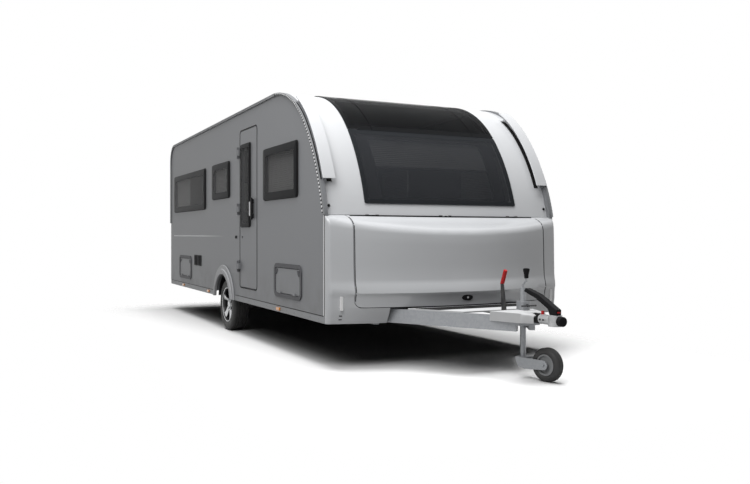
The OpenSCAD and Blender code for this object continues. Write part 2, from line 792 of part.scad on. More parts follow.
module entrance_door() {
  color([0.5, 0.51, 0.52]) {
    slab(-half_w, -in_w + 2) difference() {
      rrect(front_x - door_back, door_z, door_w, door_h, 44);
      rrect(front_x - DOOR_WIN[0] + 18, DOOR_WIN[2] + 18, DOOR_WIN[1] - 36, DOOR_WIN[3] - 36, pane_r - 24);
    }
    for (z = DOOR_HINGES) translate([hinge_x, -half_w - hinge_out, z]) difference() {
      union() {
        cylinder(h = 2*knuckle_l, r = knuckle_r, center = true);
        translate([0, -3.5, -knuckle_l]) cube([hinge_back + 26, 7, 2*knuckle_l]);
        translate([hinge_back + 12, -3.5, -knuckle_l]) cube([14, hinge_out + 6.5, 2*knuckle_l]);
      }
      cylinder(h = 70, r = pin_r + 0.06, center = true);
    }
  }
}

module door_window() {
  color([0.12, 0.13, 0.14]) slab(-half_w - 15, -half_w)
    rrect(front_x - DOOR_WIN[0], DOOR_WIN[2], DOOR_WIN[1], DOOR_WIN[3], pane_r - 12);
}

module door_handle() {
  color([0.05, 0.05, 0.05]) {
    slab(-half_w - 32, -half_w - 16) rrect(front_x - door_back + door_w - 136, door_z + 749, 46, 240, 22);
    slab(-half_w - 17, -half_w) for (z = [765, 927])
      rrect(front_x - door_back + door_w - 128, door_z + z, 30, 46, 12);
  }
}

module locker_lid() {
  color([0.72, 0.73, 0.74]) difference() {
    union() {
      intersection() {
        front_skin();
        lid_prism(0);
      }
      for (y = LID_HINGES) {
        lid_knuckle(y - 30, y + 30);
        translate([lid_axis[0], y - 30, lid_axis[1] - 20]) cube([14, 60, 18]);
      }
    }
    for (y = LID_HINGES) translate([lid_axis[0], y + 31, lid_axis[1]]) rotate([90, 0, 0])
      cylinder(h = 62, r = pin_r - 0.94);
    for (y = LID_HINGES, s = [-1, 1]) translate([lid_axis[0] - 20, y + s*48.5 - 18.2, lid_axis[1] - 14])
      cube([29, 36.4, 40]);
  }
}

module lid_knuckle(y0, y1) {
  translate([lid_axis[0], y1, lid_axis[1]]) rotate([90, 0, 0]) cylinder(h = y1 - y0, r = 6.5);
}

module hatch(i) {
  h = HATCH[i];
  color([0.5, 0.51, 0.52]) difference() {
    union() {
      slab(-half_w - 4, -in_w + 2) hatch_hole(i, 0);
      for (k = [0.2, 0.8]) translate([front_x - h[0] + k*h[1], hatch_y, h[2] - 3]) {
        rotate([0, 90, 0]) cylinder(h = 50, r = 5, center = true);
        translate([-25, -5, 0]) cube([50, 13, 16]);
      }
    }
    for (k = [0.2, 0.8]) translate([front_x - h[0] + k*h[1], hatch_y, h[2] - 3])
      rotate([0, 90, 0]) cylinder(h = 60, r = 2.56, center = true);
  }
}

module hatch_front() {
  hatch(0);
}

module hatch_rear() {
  hatch(1);
}

module tyre() {
  rotate_extrude() {
    difference() {
      union() {
        translate([rim_r - 3, -tyre_w/2 + 14]) square([tyre_r - rim_r - 25, tyre_w - 28]);
        translate([rim_r + 20, -tyre_w/2]) square([tyre_r - rim_r - 58, tyre_w]);
        translate([rim_r + 10, -tyre_w/2 + 38]) square([tyre_r - rim_r - 10, tyre_w - 76]);
        for (s = [-1, 1]) {
          translate([tyre_r - 38, s*(tyre_w/2 - 38)]) circle(38);
          translate([rim_r + 20, s*(tyre_w/2 - 20)]) circle(20);
        }
      }
      translate([0, -tyre_w]) square([rim_r + 0.3, 2*tyre_w]);
    }
  }
}

module rim() {
  rotate_extrude() {
    translate([rim_r - 14, -tyre_w/2 + 12]) square([14, tyre_w - 24]);
  }
  translate([0, 0, tyre_w/2 - 52]) difference() {
    union() {
      cylinder(h = 34, r = rim_r - 10);
      translate([0, 0, -28]) cylinder(h = 60, r = 72);
    }
    translate([0, 0, -40]) cylinder(h = 60, r = stub_r + 0.06);
    for (i = [0:spokes - 1]) rotate(i*360/spokes) linear_extrude(80, center = true) difference() {
      polygon([78*dir(-18), (rim_r - 2)*dir(-25), 260*dir(0), (rim_r - 2)*dir(25), 78*dir(18)]);
      difference() {
        circle(300);
        circle(rim_r - 24);
      }
    }
    for (i = [0:4]) rotate(36 + 72*i) translate([56, 0, -1]) cylinder(h = 60, r = 7.5);
  }
}

module on_hub(side) {
  translate([axle_x, side*wheel_y, tyre_r]) rotate([-90*side, 0, 0]) children();
}

module tyre_right() {
  color([0.04, 0.04, 0.04]) on_hub(-1) tyre();
}

module rim_right() {
  color([0.75, 0.76, 0.77]) on_hub(-1) rim();
}

module tyre_left() {
  color([0.04, 0.04, 0.04]) on_hub(1) tyre();
}

module rim_left() {
  color([0.75, 0.76, 0.77]) on_hub(1) rim();
}

module at_jockey() {
  translate([post_x, post_side, 0]) rotate([0, 0, swivel]) children();
}

module jockey_fork() {
  color([0.45, 0.46, 0.47]) at_jockey() {
    translate([0, 0, 160]) cylinder(h = 300, r = post_r - 4.5);
    translate([-36, -jockey_w/2 - 16, 160]) cube([84, jockey_w + 32, 12]);
    for (s = [-1, 1]) translate([0, s*(jockey_w/2 + 11), 0]) slab(-5, 5) difference() {
      union() {
        translate([trail, jockey_r]) circle(38);
        polygon([[-36, 172], [48, 172], [trail, jockey_r + 38], [trail, jockey_r - 38], [60, 84], [-10, 100]]);
      }
      translate([trail, jockey_r]) circle(9);
    }
    translate([trail, jockey_w/2 + 24, jockey_r]) rotate([90, 0, 0]) cylinder(h = jockey_w + 48, r = 9);
  }
}

module jockey_tyre() {
  color([0.04, 0.04, 0.04]) at_jockey() translate([trail, 0, jockey_r]) rotate([90, 0, 0]) rotate_extrude()
    difference() {
      union() {
        translate([70, -jockey_w/2 + 20]) square([jockey_r - 70, jockey_w - 40]);
        translate([70, -jockey_w/2]) square([jockey_r - 90, jockey_w]);
        for (s = [-1, 1]) translate([jockey_r - 20, s*(jockey_w/2 - 20)]) circle(20);
      }
      translate([0, -100]) square([84.3, 200]);
    }
}

module jockey_rim() {
  color([0.6, 0.61, 0.62]) at_jockey() translate([trail, 0, jockey_r]) rotate([90, 0, 0]) difference() {
    union() {
      cylinder(h = jockey_w - 6, r = 84, center = true);
      cylinder(h = jockey_w + 8, r = 22, center = true);
    }
    for (s = [-1, 1]) translate([0, 0, s*(jockey_w/2 + 5)]) difference() {
      cylinder(h = 40, r = 70, center = true);
      cylinder(h = 60, r = 30, center = true);
    }
    cylinder(h = 200, r = 9.5, center = true);
  }
}

// corner steady folded up under the floor; it swings down about its bracket
module steady(x, side, way) {
  color([0.55, 0.56, 0.57]) translate([x, side*steady_half, floor_z - 80]) difference() {
    union() {
      rotate([90, 0, 0]) cylinder(h = 48, r = 16, center = true);
      translate([way > 0 ? 0 : -steady_l, -24, -14]) cube([steady_l, 48, 28]);
      translate([way*steady_l, 0, 0]) translate([-35, -45, -16]) cube([70, 90, 32]);
    }
    rotate([90, 0, 0]) cylinder(h = 60, r = steady_pin_r + 0.06, center = true);
  }
}

module steady_front_right() {
  steady(front_x - STEADY[0], -1, -1);
}

module steady_front_left() {
  steady(front_x - STEADY[0], 1, -1);
}

module steady_rear_right() {
  steady(front_x - STEADY[1], -1, 1);
}

module steady_rear_left() {
  steady(front_x - STEADY[1], 1, 1);
}

floor_panel();
side_wall_right();
side_wall_left();
roof_panel();
rear_wall();
front_panel();
front_glass();
locker_box();
front_corners();
corner_covers();
awning_rails();
skirts();
arch_trims();
arch_liners();
windows();
blinds();
hatch_frames();
vents();
side_markers();
front_reflectors();
rear_lamps();
rear_bumper();
rooflights();
chassis_frame();
axle();
drawbar_cover();
overrun_gaiter();
coupling_head();
coupling_handle();
handbrake_lever();
handbrake_grip();
jockey_post();
entrance_door();
door_window();
door_handle();
locker_lid();
hatch_front();
hatch_rear();
tyre_right();
rim_right();
tyre_left();
rim_left();
jockey_fork();
jockey_tyre();
jockey_rim();
steady_front_right();
steady_front_left();
steady_rear_right();
steady_rear_left();
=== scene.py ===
import json
import math

import bmesh
import bpy
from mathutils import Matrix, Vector
from mathutils.bvhtree import BVHTree

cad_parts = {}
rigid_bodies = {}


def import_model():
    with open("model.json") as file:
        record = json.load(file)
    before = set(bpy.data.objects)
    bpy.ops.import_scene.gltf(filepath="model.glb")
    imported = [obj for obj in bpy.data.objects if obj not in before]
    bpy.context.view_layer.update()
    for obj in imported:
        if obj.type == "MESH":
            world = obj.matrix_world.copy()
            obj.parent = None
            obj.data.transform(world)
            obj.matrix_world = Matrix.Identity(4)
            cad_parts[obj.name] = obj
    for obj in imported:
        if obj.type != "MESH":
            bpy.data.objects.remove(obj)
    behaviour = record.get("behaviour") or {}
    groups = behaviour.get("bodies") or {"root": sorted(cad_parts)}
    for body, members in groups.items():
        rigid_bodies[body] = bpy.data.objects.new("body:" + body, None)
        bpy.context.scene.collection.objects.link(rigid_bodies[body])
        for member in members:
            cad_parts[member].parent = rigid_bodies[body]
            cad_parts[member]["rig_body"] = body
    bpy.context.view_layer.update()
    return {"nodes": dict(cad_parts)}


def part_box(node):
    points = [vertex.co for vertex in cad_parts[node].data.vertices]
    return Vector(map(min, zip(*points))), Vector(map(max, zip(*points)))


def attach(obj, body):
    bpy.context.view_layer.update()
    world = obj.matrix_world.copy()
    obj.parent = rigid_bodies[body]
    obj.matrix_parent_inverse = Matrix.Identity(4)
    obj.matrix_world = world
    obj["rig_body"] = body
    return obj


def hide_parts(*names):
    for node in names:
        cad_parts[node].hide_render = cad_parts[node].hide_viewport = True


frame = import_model()
nodes = frame["nodes"]


# CHASSIS
# Two pierced rails, cross members and a V of drawbar arms, pressed and bolted steel,
# dipped in zinc as a whole, so that its skin shows the zinc's crystals.

class Socket:
    """A shader socket. Sums, products and comparisons of sockets add their own Math nodes."""

    def __init__(self, tree, socket):
        self.tree = tree
        self.socket = socket

    def node(self, kind, settings=(), out=0, **inputs):
        """Output of a new node. An input goes by its name, or as i0, i1 and so on by its place."""
        made = self.tree.nodes.new("ShaderNode" + kind)
        for key, value in dict(settings).items():
            setattr(made, key, value)
        for key, value in inputs.items():
            by_place = key[0] == "i" and key[1:].isdigit()
            feed(made.inputs[int(key[1:]) if by_place else key.replace("_", " ")], value)
        return Socket(self.tree, made.outputs[out])

    def math(self, operation, *values):
        return self.node("Math", {"operation": operation}, **{f"i{k}": v for k, v in enumerate(values)})

    def __add__(self, other):
        return self.math("ADD", self, other)

    def __sub__(self, other):
        return self.math("SUBTRACT", self, other)

    def __rsub__(self, other):
        return self.math("SUBTRACT", other, self)

    def __mul__(self, other):
        return self.math("MULTIPLY", self, other)

    __radd__ = __add__
    __rmul__ = __mul__

    def size(self):
        return self.math("ABSOLUTE", self)

    def most(self, other):
        return self.math("MAXIMUM", self, other)

    def part(self, axis):
        """One of a place's coordinates."""
        return self.node("SeparateXYZ", {}, axis, Vector=self)

    def step(self, low, high):
        """0 below low, 1 above high, smooth between."""
        return self.node("MapRange", {"interpolation_type": "SMOOTHSTEP"},
            Value=self, From_Min=low, From_Max=high)

    def past(self, edge, soft=0.002):
        """A step that is soft on both sides of an edge."""
        return self.step(edge - soft, edge + soft)

    def blend(self, first, second):
        """Colour between two, by this value."""
        return self.node("Mix", {"data_type": "RGBA"}, 2, i0=self, i6=first, i7=second)


def feed(port, value):
    if isinstance(value, Socket):
        port.id_data.links.new(value.socket, port)
    else:
        port.default_value = (*value, 1.0) if port.type == "RGBA" and len(value) == 3 else value


slots = {}


def finish(name, slot, **constants):
    """New material, noted with its slot; its surface shader and the piece's own coordinates."""
    made = bpy.data.materials.new(name)
    made.use_nodes = True
    slots[made.name] = slot
    shader = made.node_tree.nodes["Principled BSDF"]
    for key, value in constants.items():
        feed(shader.inputs[key.replace("_", " ")], value)
    coords = made.node_tree.nodes.new("ShaderNodeTexCoord")
    return made, shader, Socket(made.node_tree, coords.outputs["Object"])


def noise(place, scale, detail=3.0):
    return place.node("TexNoise", Vector=place, Scale=scale, Detail=detail, Roughness=0.55)


def cells(place, scale):
    """A level that differs from one small cell to the next."""
    cell = place.node("TexVoronoi", {"feature": "F1"}, 1, Vector=place, Scale=scale)
    return cell.node("SeparateColor", {}, 0, Color=cell)


def paint(shader, colour, rough):
    feed(shader.inputs["Base Color"], colour)
    feed(shader.inputs["Roughness"], rough)


def raise_from(place, shader, height, strength, depth):
    feed(shader.inputs["Normal"], place.node("Bump", Height=height, Strength=strength, Distance=depth))


def zinc(name, slot, dark, light, rough):
    made, shader, place = finish(name, slot, Metallic=0.45, IOR=1.6)
    shade = cells(place, 55.0)
    cloud = noise(place, 6.0, 5.0)
    paint(shader, (shade * 0.55 + cloud * 0.45).blend(dark, light), shade * 0.12 + cloud * 0.16 + rough)
    raise_from(place, shader, shade * 0.4 + noise(place, 240.0), 0.25, 0.0006)
    return made


def settle(piece):
    """Turn a piece's modifiers into plain mesh."""
    ready = piece.evaluated_get(bpy.context.evaluated_depsgraph_get())
    mesh = bpy.data.meshes.new_from_object(ready)
    piece.modifiers.clear()
    piece.data = mesh
    return piece


def piece_of(name, mesh, body, materials, stands_for=(), slot=None):
    """A piece on its body, with its materials and the nodes that it stands for. A slot is worked out
    from its first material, unless another is given, but is not given to the piece."""
    piece = bpy.data.objects.new(name, mesh)
    bpy.context.scene.collection.objects.link(piece)
    if mesh.materials:
        mesh.materials.clear()
    for material in materials if isinstance(materials, list) else [materials]:
        mesh.materials.append(material)
    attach(piece, body)
    if stands_for:
        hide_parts(*stands_for)
    slot = slot or slots[mesh.materials[0].name]
    return piece


def rounded(mesh, angle=32.0):
    mesh.polygons.foreach_set("use_smooth", [True] * len(mesh.polygons))
    mesh.set_sharp_from_angle(angle=math.radians(angle))
    return mesh


def even(piece):
    """Let the large faces set the shading, so that flat panels stay flat up to their broken edges."""
    weights = piece.modifiers.new("even", "WEIGHTED_NORMAL")
    weights.keep_sharp = True
    return settle(piece)


weld_gap = 2e-5


def soften(node, material, edge, angle=32.0, steps=2, slot=None):
    """Stand in for a CAD node with the same shape, its sharp edges broken as in the real piece."""
    mesh = nodes[node].data.copy()
    work = bmesh.new()
    work.from_mesh(mesh)
    bmesh.ops.remove_doubles(work, verts=work.verts, dist=weld_gap)
    bmesh.ops.dissolve_limit(work, angle_limit=math.radians(0.4), verts=work.verts, edges=work.edges)
    sharp = [e for e in work.edges if len(e.link_faces) == 2 and e.calc_face_angle(0.0) > math.radians(angle)]
    bmesh.ops.bevel(work, geom=sharp, offset=edge, segments=steps, profile=0.6, affect="EDGES",
        clamp_overlap=True)
    work.to_mesh(mesh)
    work.free()
    name = mesh.name = "soft_" + node
    return even(piece_of(name, rounded(mesh), nodes[node]["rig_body"], material, (node,), slot))


galvanised = zinc("galvanised_zinc", "galvanised", (0.27, 0.28, 0.295), (0.35, 0.36, 0.375), 0.38)
soften("chassis_frame", galvanised, 0.0025)
for end in ("front_right", "front_left", "rear_right", "rear_left"):
    soften("steady_" + end, galvanised, 0.002)


# AXLE
# A steel tube with trailing arms and cast brake drums, coated black. The coat has a fine
# orange peel, greyed by dust in patches.

def coated_steel(name, colour, dust, rough):
    made, shader, place = finish(name, "black_steel", Metallic=0.1, IOR=1.5)
    film = noise(place, 9.0, 6.0).step(0.42, 0.72)
    paint(shader, film.blend(colour, dust), film * 0.25 + rough)
    raise_from(place, shader, noise(place, 420.0, 2.0), 0.2, 0.0005)
    return made


black_coat = coated_steel("black_coat", (0.02, 0.02, 0.022), (0.065, 0.063, 0.06), 0.42)
soften("axle", black_coat, 0.002)


# FLOOR AND ROOF
# Ply floor sealed black underneath, and a smooth white glass-fibre roof sheet, both laid
# over the full width between the side walls.

def glass_fibre(name, slot, dark, light, rough, coat):
    """Gel coat or spray coat on a laid-up panel: long soft waves and fine peel."""
    made, shader, place = finish(name, slot, Coat_Weight=coat, Coat_Roughness=0.12, IOR=1.48)
    wave = noise(place, 1.3, 4.0)
    flake = noise(place, 900.0, 1.0)
    paint(shader, (wave * 0.6 + flake * 0.4).blend(dark, light), wave * 0.1 + rough)
    raise_from(place, shader, noise(place, 2.1, 2.0) + noise(place, 170.0, 1.0) * 0.04, 0.1, 0.004)
    return made


def bands(place, way, scale, **more):
    return place.node("TexWave", {"bands_direction": way}, 1, Vector=place, Scale=scale, **more)


def sealed_board(name, dark, light):
    made, shader, place = finish(name, "floor_board", IOR=1.45)
    grain = bands(place, "Y", 6.0, Distortion=9.0, Detail=3.0)
    paint(shader, (grain * 0.7 + noise(place, 40.0) * 0.3).blend(dark, light), grain * 0.15 + 0.6)
    raise_from(place, shader, grain, 0.15, 0.001)
    return made


floor_board = sealed_board("sealed_board", (0.018, 0.018, 0.018), (0.05, 0.048, 0.045))
soften("floor_panel", floor_board, 0.002)
roof_white = glass_fibre("roof_white", "roof_sheet", (0.62, 0.63, 0.63), (0.72, 0.73, 0.73), 0.38, 0.2)
soften("roof_panel", roof_white, 0.001)


# SIDE WALLS
# Bonded sandwich panels with a smooth skin, sprayed in a metallic grey under a clear coat.
# A thin pale stripe runs along the rear half and fades out forward.

def metallic_spray(name, dark, light):
    made, shader, place = finish(name, "wall_paint", Metallic=0.1, IOR=1.45, Specular_IOR_Level=0.22)
    x, z = place.part(0), place.part(2)
    wave = noise(place, 0.7)
    spark = cells(place, 1500.0)
    road_film = (1 - z.step(0.45, 0.95)) * noise(place, 5.0, 5.0).step(0.35, 0.75) * 0.35
    base = road_film.blend((wave * 0.5 + spark * 0.5).blend(dark, light), (0.2, 0.195, 0.185))
    stripe_foot, stripe_top, stripe_rear = 1.136, 1.148, -3.635
    stripe = z.past(stripe_foot, 0.001) * (1 - z.past(stripe_top, 0.001)) * x.past(stripe_rear)
    base = (stripe * (1 - x.step(-2.2, -0.73))).blend(base, (0.72, 0.73, 0.74))
    paint(shader, base, spark * 0.08 + wave * 0.06 + 0.34 + road_film * 0.3)
    raise_from(place, shader, noise(place, 1.6, 2.0) + noise(place, 220.0, 1.0) * 0.03, 0.08, 0.003)
    return made


wall_grey = metallic_spray("wall_grey", (0.192, 0.197, 0.207), (0.227, 0.232, 0.242))
soften("side_wall_right", wall_grey, 0.0015)
soften("side_wall_left", wall_grey, 0.0015)


# REAR WALL AND MOULDING
# A panel that turns into the roof in one bend, with a deep moulded bumper below it that
# carries the lamps. Both are in a plain grey, the panel of glass fibre.

rear_grey = glass_fibre("rear_grey", "rear_panel", (0.235, 0.24, 0.245), (0.285, 0.29, 0.295), 0.36, 0.3)
soften("rear_wall", rear_grey, 0.0015)


def moulded(name, slot, dark, light, rough, grain=520.0, shine=0.25):
    """Moulded plastic with the fine grain of its tool and a slightly uneven sheen."""
    made, shader, place = finish(name, slot, IOR=1.47, Specular_IOR_Level=shine)
    cloud = noise(place, 7.0, 5.0)
    pit = place.node("TexVoronoi", {"feature": "SMOOTH_F1"}, 0, Vector=place, Scale=grain)
    paint(shader, (cloud * 0.7 + pit * 0.3).blend(dark, light), cloud * 0.14 + rough)
    raise_from(place, shader, pit, 0.35, 0.0006)
    return made


pale_trim = moulded("pale_trim", "trim_plastic", (0.26, 0.265, 0.27), (0.34, 0.345, 0.35), 0.4)
soften("rear_bumper", pale_trim, 0.008, steps=3)


# SKIRTS, AWNING RAILS AND ARCH TRIMS
# Drawn aluminium along the lower edge and round the roof line, anodised and screwed on.
# The wheel arches have a moulded plastic lip, and a black liner inside.

def anodised(name, dark, light, rough, metal=0.45):
    made, shader, place = finish(name, "aluminium", Metallic=metal, IOR=1.5)
    stretched = place.node("Mapping", {}, 0, Vector=place, Scale=(2.0, 220.0, 220.0))
    draw = stretched.node("TexNoise", {}, 0, Vector=stretched, Scale=3.0, Detail=4.0)
    paint(shader, (draw * 0.6 + noise(place, 5.0) * 0.4).blend(dark, light), draw * 0.16 + rough)
    raise_from(place, shader, draw, 0.12, 0.0004)
    return made


skirt_metal = anodised("skirt_metal", (0.185, 0.19, 0.197), (0.25, 0.255, 0.262), 0.42, 0.2)
soften("skirts", skirt_metal, 0.003)
soften("awning_rails", skirt_metal, 0.001, angle=50.0, steps=1)
arch_silver = moulded("arch_silver", "trim_plastic", (0.33, 0.335, 0.345), (0.41, 0.415, 0.425), 0.38)
soften("arch_trims", arch_silver, 0.008, steps=3)
black_moulding = moulded("black_moulding", "black_plastic", (0.009, 0.009, 0.01), (0.021, 0.021, 0.022), 0.45,
    shine=0.04)
soften("arch_liners", black_moulding, 0.002)


# FRONT PANEL AND CORNER COVERS
# A glass-fibre moulding that curves from the locker up into the roof, with
# a raised strip on each side that covers the joint to the wall. It and the covers wear a lighter copy
# of the lid's silver: painted light for the extra light that their upturned faces catch.

# Lighter copy of the lid's silver, as painted light on the upturned panel and covers.
silver_painted_light = glass_fibre("silver_painted_light_coat", "front_paint", (0.55, 0.56, 0.575), (0.63, 0.64, 0.655), 0.3, 0.45)
soften("front_panel", silver_painted_light, 0.002, angle=40.0)
soften("corner_covers", silver_painted_light, 0.004, angle=40.0, steps=3)


# FRONT WINDOW AND SKYLIGHT
# Bent tinted acrylic over the whole front, bonded to the panel, with a black edge printed on
# its inner face. The skylight above is coloured darker and rougher than the window, and in three panes.

def tinted(name, colour, alpha, rough, gloss=0.06, border=None, darker_above=None, slot="tinted_glass"):
    """Smoked acrylic; border marks where its printed edge makes it opaque."""
    made, shader, place = finish(name, slot, IOR=1.49, Specular_IOR_Level=gloss)
    haze = noise(place, 3.5, 5.0)
    base = haze.blend(colour, tuple(c * 1.5 for c in colour))
    cover = haze * 0.04 + alpha
    sheen = haze * 0.07 + rough
    if border:
        printed = border(place)
        base = printed.blend(base, (0.022, 0.024, 0.027))
        cover = cover.most(printed)
    if darker_above:
        above = place.part(2).past(darker_above, 0.01)
        base = above.blend(base, tuple(c * 0.2 for c in colour))
        sheen = sheen + above * 0.3
    paint(shader, base, sheen)
    feed(shader.inputs["Alpha"], cover)
    raise_from(place, shader, noise(place, 0.9, 1.0), 0.05, 0.01)
    return made


def front_print(place):
    """Printed band along the sides, the foot and the joint of the front window."""
    foot_edge, joint_low, joint_high, side_edge = 1.478, 2.1, 2.192, 0.778
    y, z = place.part(1), place.part(2)
    joint = z.past(joint_low) * (1 - z.past(joint_high))
    return (1 - z.past(foot_edge)).most(joint).most(y.size().past(side_edge))


skylight_foot = 2.15
dark_glass = tinted("dark_glass", (0.034, 0.036, 0.04), 0.55, 0.05, 0.035, front_print, skylight_foot)
soften("front_glass", dark_glass, 0.002, angle=40.0)


# LOCKER
# The gas locker is a dark lined box on the floor. Its lid and the two corners beside it are
# one glass-fibre form, cut apart after moulding, with a small oval lock low in the middle.

lining = moulded("locker_lining", "locker_lining", (0.02, 0.02, 0.021), (0.042, 0.042, 0.043), 0.6)
silver = glass_fibre("silver_gel_coat", "front_paint", (0.455, 0.465, 0.48), (0.53, 0.54, 0.555), 0.3, 0.45)
soften("locker_box", lining, 0.002)
soften("front_corners", silver, 0.003, angle=40.0)
soften("locker_lid", silver, 0.003, angle=40.0)
sides = ((-1, "right"), (1, "left"))
x_axis, y_axis, z_axis = (1, 0, 0), (0, 1, 0), (0, 0, 1)
skins = {}


def surface_at(node, start, towards):
    """Where a straight line meets a CAD node's skin, and which way the skin faces there."""
    if node not in skins:
        mesh = nodes[node].data
        corners, faces = [v.co for v in mesh.vertices], [list(f.vertices) for f in mesh.polygons]
        skins[node] = BVHTree.FromPolygons(corners, faces)
    return skins[node].ray_cast(Vector(start), Vector(towards))[:2]


def front_at(node, y, z):
    """Where a level line from ahead meets a node."""
    return surface_at(node, (3.0, y, z), (-1, 0, 0))


def top_at(node, x, y, start=2.0):
    """Where a plumb line from a height above meets a node."""
    return surface_at(node, (x, y, start), (0, 0, -1))


def outline(x, z, w, h, r, count=6):
    """Rounded rectangle as points, running round once."""
    corners = ((x + w - r, z + r, -90), (x + w - r, z + h - r, 0), (x + r, z + h - r, 90), (x + r, z + r, 180))
    points = []
    for cx, cz, start in corners:
        for k in range(count + 1):
            turn = math.radians(start + 90 * k / count)
            points.append((cx + r * math.cos(turn), cz + r * math.sin(turn)))
    return points


def loft(loops, marks=None, wrap=False):
    """Closed loops of points joined one to the next, the last to the first or with capped ends.
    Marks gives each band's material, and the last mark that of the caps."""
    work = bmesh.new()
    rows = [[work.verts.new(p) for p in loop] for loop in loops]
    size = len(rows[0])
    for k in range(len(rows) if wrap else len(rows) - 1):
        one, two = rows[k], rows[(k + 1) % len(rows)]
        for i in range(size):
            face = work.faces.new((one[i], one[(i + 1) % size], two[(i + 1) % size], two[i]))
            face.material_index = marks[k] if marks else 0
    if not wrap:
        for end in (rows[0][::-1], rows[-1]):
            work.faces.new(end).material_index = marks[-1] if marks else 0
    bmesh.ops.recalc_face_normals(work, faces=work.faces)
    mesh = bpy.data.meshes.new("loft")
    work.to_mesh(mesh)
    work.free()
    return rounded(mesh)


def fitting(name, place, across, up, size, radius, steps, body, material):
    """Small moulded fitting on a surface: an outline that steps in as it rises, rounded at its
    corners or, without a radius, an oval."""
    across, up = Vector(across).normalized(), Vector(up).normalized()
    out = across.cross(up)
    w, h = size
    spin = [math.pi * k / 16 for k in range(32)]
    loops = []
    for inset, height in steps:
        if radius:
            corner = max(0.0008, radius - inset)
            ring = outline(inset - w / 2, inset - h / 2, w - 2 * inset, h - 2 * inset, corner, 5)
        else:
            ring = [((w / 2 - inset) * math.cos(t), (h / 2 - inset) * math.sin(t)) for t in spin]
        loops.append([Vector(place) + across * px + up * pz + out * height for px, pz in ring])
    return piece_of(name, loft(loops), body, material)


spot, _ = front_at("locker_lid", 0.0, 0.605)
fitting("lid_lock", spot, y_axis, z_axis, (0.112, 0.054), 0.0,
    ((0.0, -0.004), (0.0, 0.004), (0.002, 0.007), (0.006, 0.009)), "lid", black_moulding)
key_metal = anodised("key_metal", (0.45, 0.45, 0.46), (0.6, 0.6, 0.61), 0.25)
fitting("lid_lock_barrel", spot + Vector((0.009, 0, 0)), y_axis, z_axis, (0.018, 0.018), 0.0089,
    ((0.0, -0.002), (0.0, 0.002), (0.002, 0.003), (0.0055, 0.003), (0.006, 0.001)), "lid", key_metal)

lip_half, lip_rear, lip_front = 0.985, 2.253, 2.262
loops = []
for k in range(49):
    y = -lip_half + 2 * lip_half * k / 48
    rear, front = [top_at("locker_lid", x, y)[0].z for x in (lip_rear, lip_front)]
    loops.append([(x, y, z) for x, z in (
        (lip_rear, rear - 0.002), (lip_rear, rear + 0.0045), (lip_rear + 0.0015, rear + 0.0055),
        (lip_rear + 0.004, rear + 0.004), (lip_front, front + 0.0004), (lip_front, front - 0.002))])
piece_of("lid_lip", loft(loops), "lid", black_moulding)

lid_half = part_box("locker_lid")[1][1]
lid_foot, lid_tall, joint_height = 0.43, 0.885, 1.415
for side, word in sides:
    loops = []
    for k in range(61):
        height = lid_foot + lid_tall * k / 60
        inner, outer = [front_at("locker_lid", side * (lid_half - inset), height) for inset in (0.008, 0.0012)]
        if all(hit and lean.x > 0.3 for hit, lean in (inner, outer)):
            loops.append([hit + lean * rise for (hit, lean), rise in
                ((inner, -0.002), (inner, 0.0008), (outer, 0.001), (outer, -0.002))])
    piece_of("lid_edge_" + word, loft(loops), "lid", black_moulding)
    spot, lean = front_at("front_panel", side * 1.168, joint_height)
    fitting("joint_stop_" + word, spot, y_axis, lean.cross(y_axis), (0.024, 0.024), 0.0119,
        ((0.0, -0.004), (0.0, 0.008), (0.003, 0.013), (0.007, 0.014)), "body", black_moulding)
    for number, height in enumerate((0.468, 0.436)):
        spot, lean = front_at("front_corners", side * 1.12, height)
        fitting(f"drain_slot_{word}_{number}", spot, lean.cross((0, 0, -1)), z_axis, (0.028, 0.008), 0.0039,
            ((0.0, -0.003), (0.0, 0.0015), (0.001, 0.002), (0.0015, 0.001)), "body", black_moulding)


# WINDOWS AND BLINDS
# Double acrylic panes that stand proud of the wall on a rubber seal, with a black printed
# border. Pleated cloth blinds hang inside; those of the rear side windows are half drawn.

rubber = moulded("seal_rubber", "black_plastic", (0.008, 0.008, 0.008), (0.018, 0.018, 0.018), 0.55, 900.0, 0.12)
pane_glass = tinted("pane_glass", (0.012, 0.013, 0.014), 0.3, 0.04)
printed_edge = tinted("printed_edge", (0.012, 0.0125, 0.0135), 0.97, 0.28, 0.015)
wall_face, rear_end = 1.23, -3.85


def on_wall(side):
    """Places on a side wall, by length, height and distance out from its face."""
    return lambda x, z, depth: (x, side * (wall_face + depth), z)


def on_rear(y, z, depth):
    return (rear_end - depth, y, z)


def rings(at, plan, r, steps, least):
    """A window's outline at each step out from the wall and in from its edge."""
    x, z, w, h = plan
    return [[at(px, pz, depth) for px, pz in
        outline(x + inset, z + inset, w - 2 * inset, h - 2 * inset, max(least, r - inset))]
        for depth, inset in steps]


def pane(name, at, plan, r, border, body, node):
    """Pane with a rolled edge: seal band, edge, printed border and clear middle."""
    steps = ((0.0, 0.002), (0.012, 0.0), (0.0165, 0.0015), (0.018, 0.006), (0.018, border))
    return piece_of(name, loft(rings(at, plan, r, steps, 0.006), [0, 1, 1, 1, 2]), body,
        [rubber, printed_edge, pane_glass], (node,), "tinted_glass")


def seal(name, at, plan, r, body, rise=0.006):
    """Rubber lip round a pane or a door, lying on the wall."""
    steps = ((0.0, -0.007), (rise * 0.7, -0.006), (rise, -0.003), (rise, 0.003), (0.0, 0.003))
    return piece_of(name, loft(rings(at, plan, r, steps, 0.0), wrap=True), body, rubber)


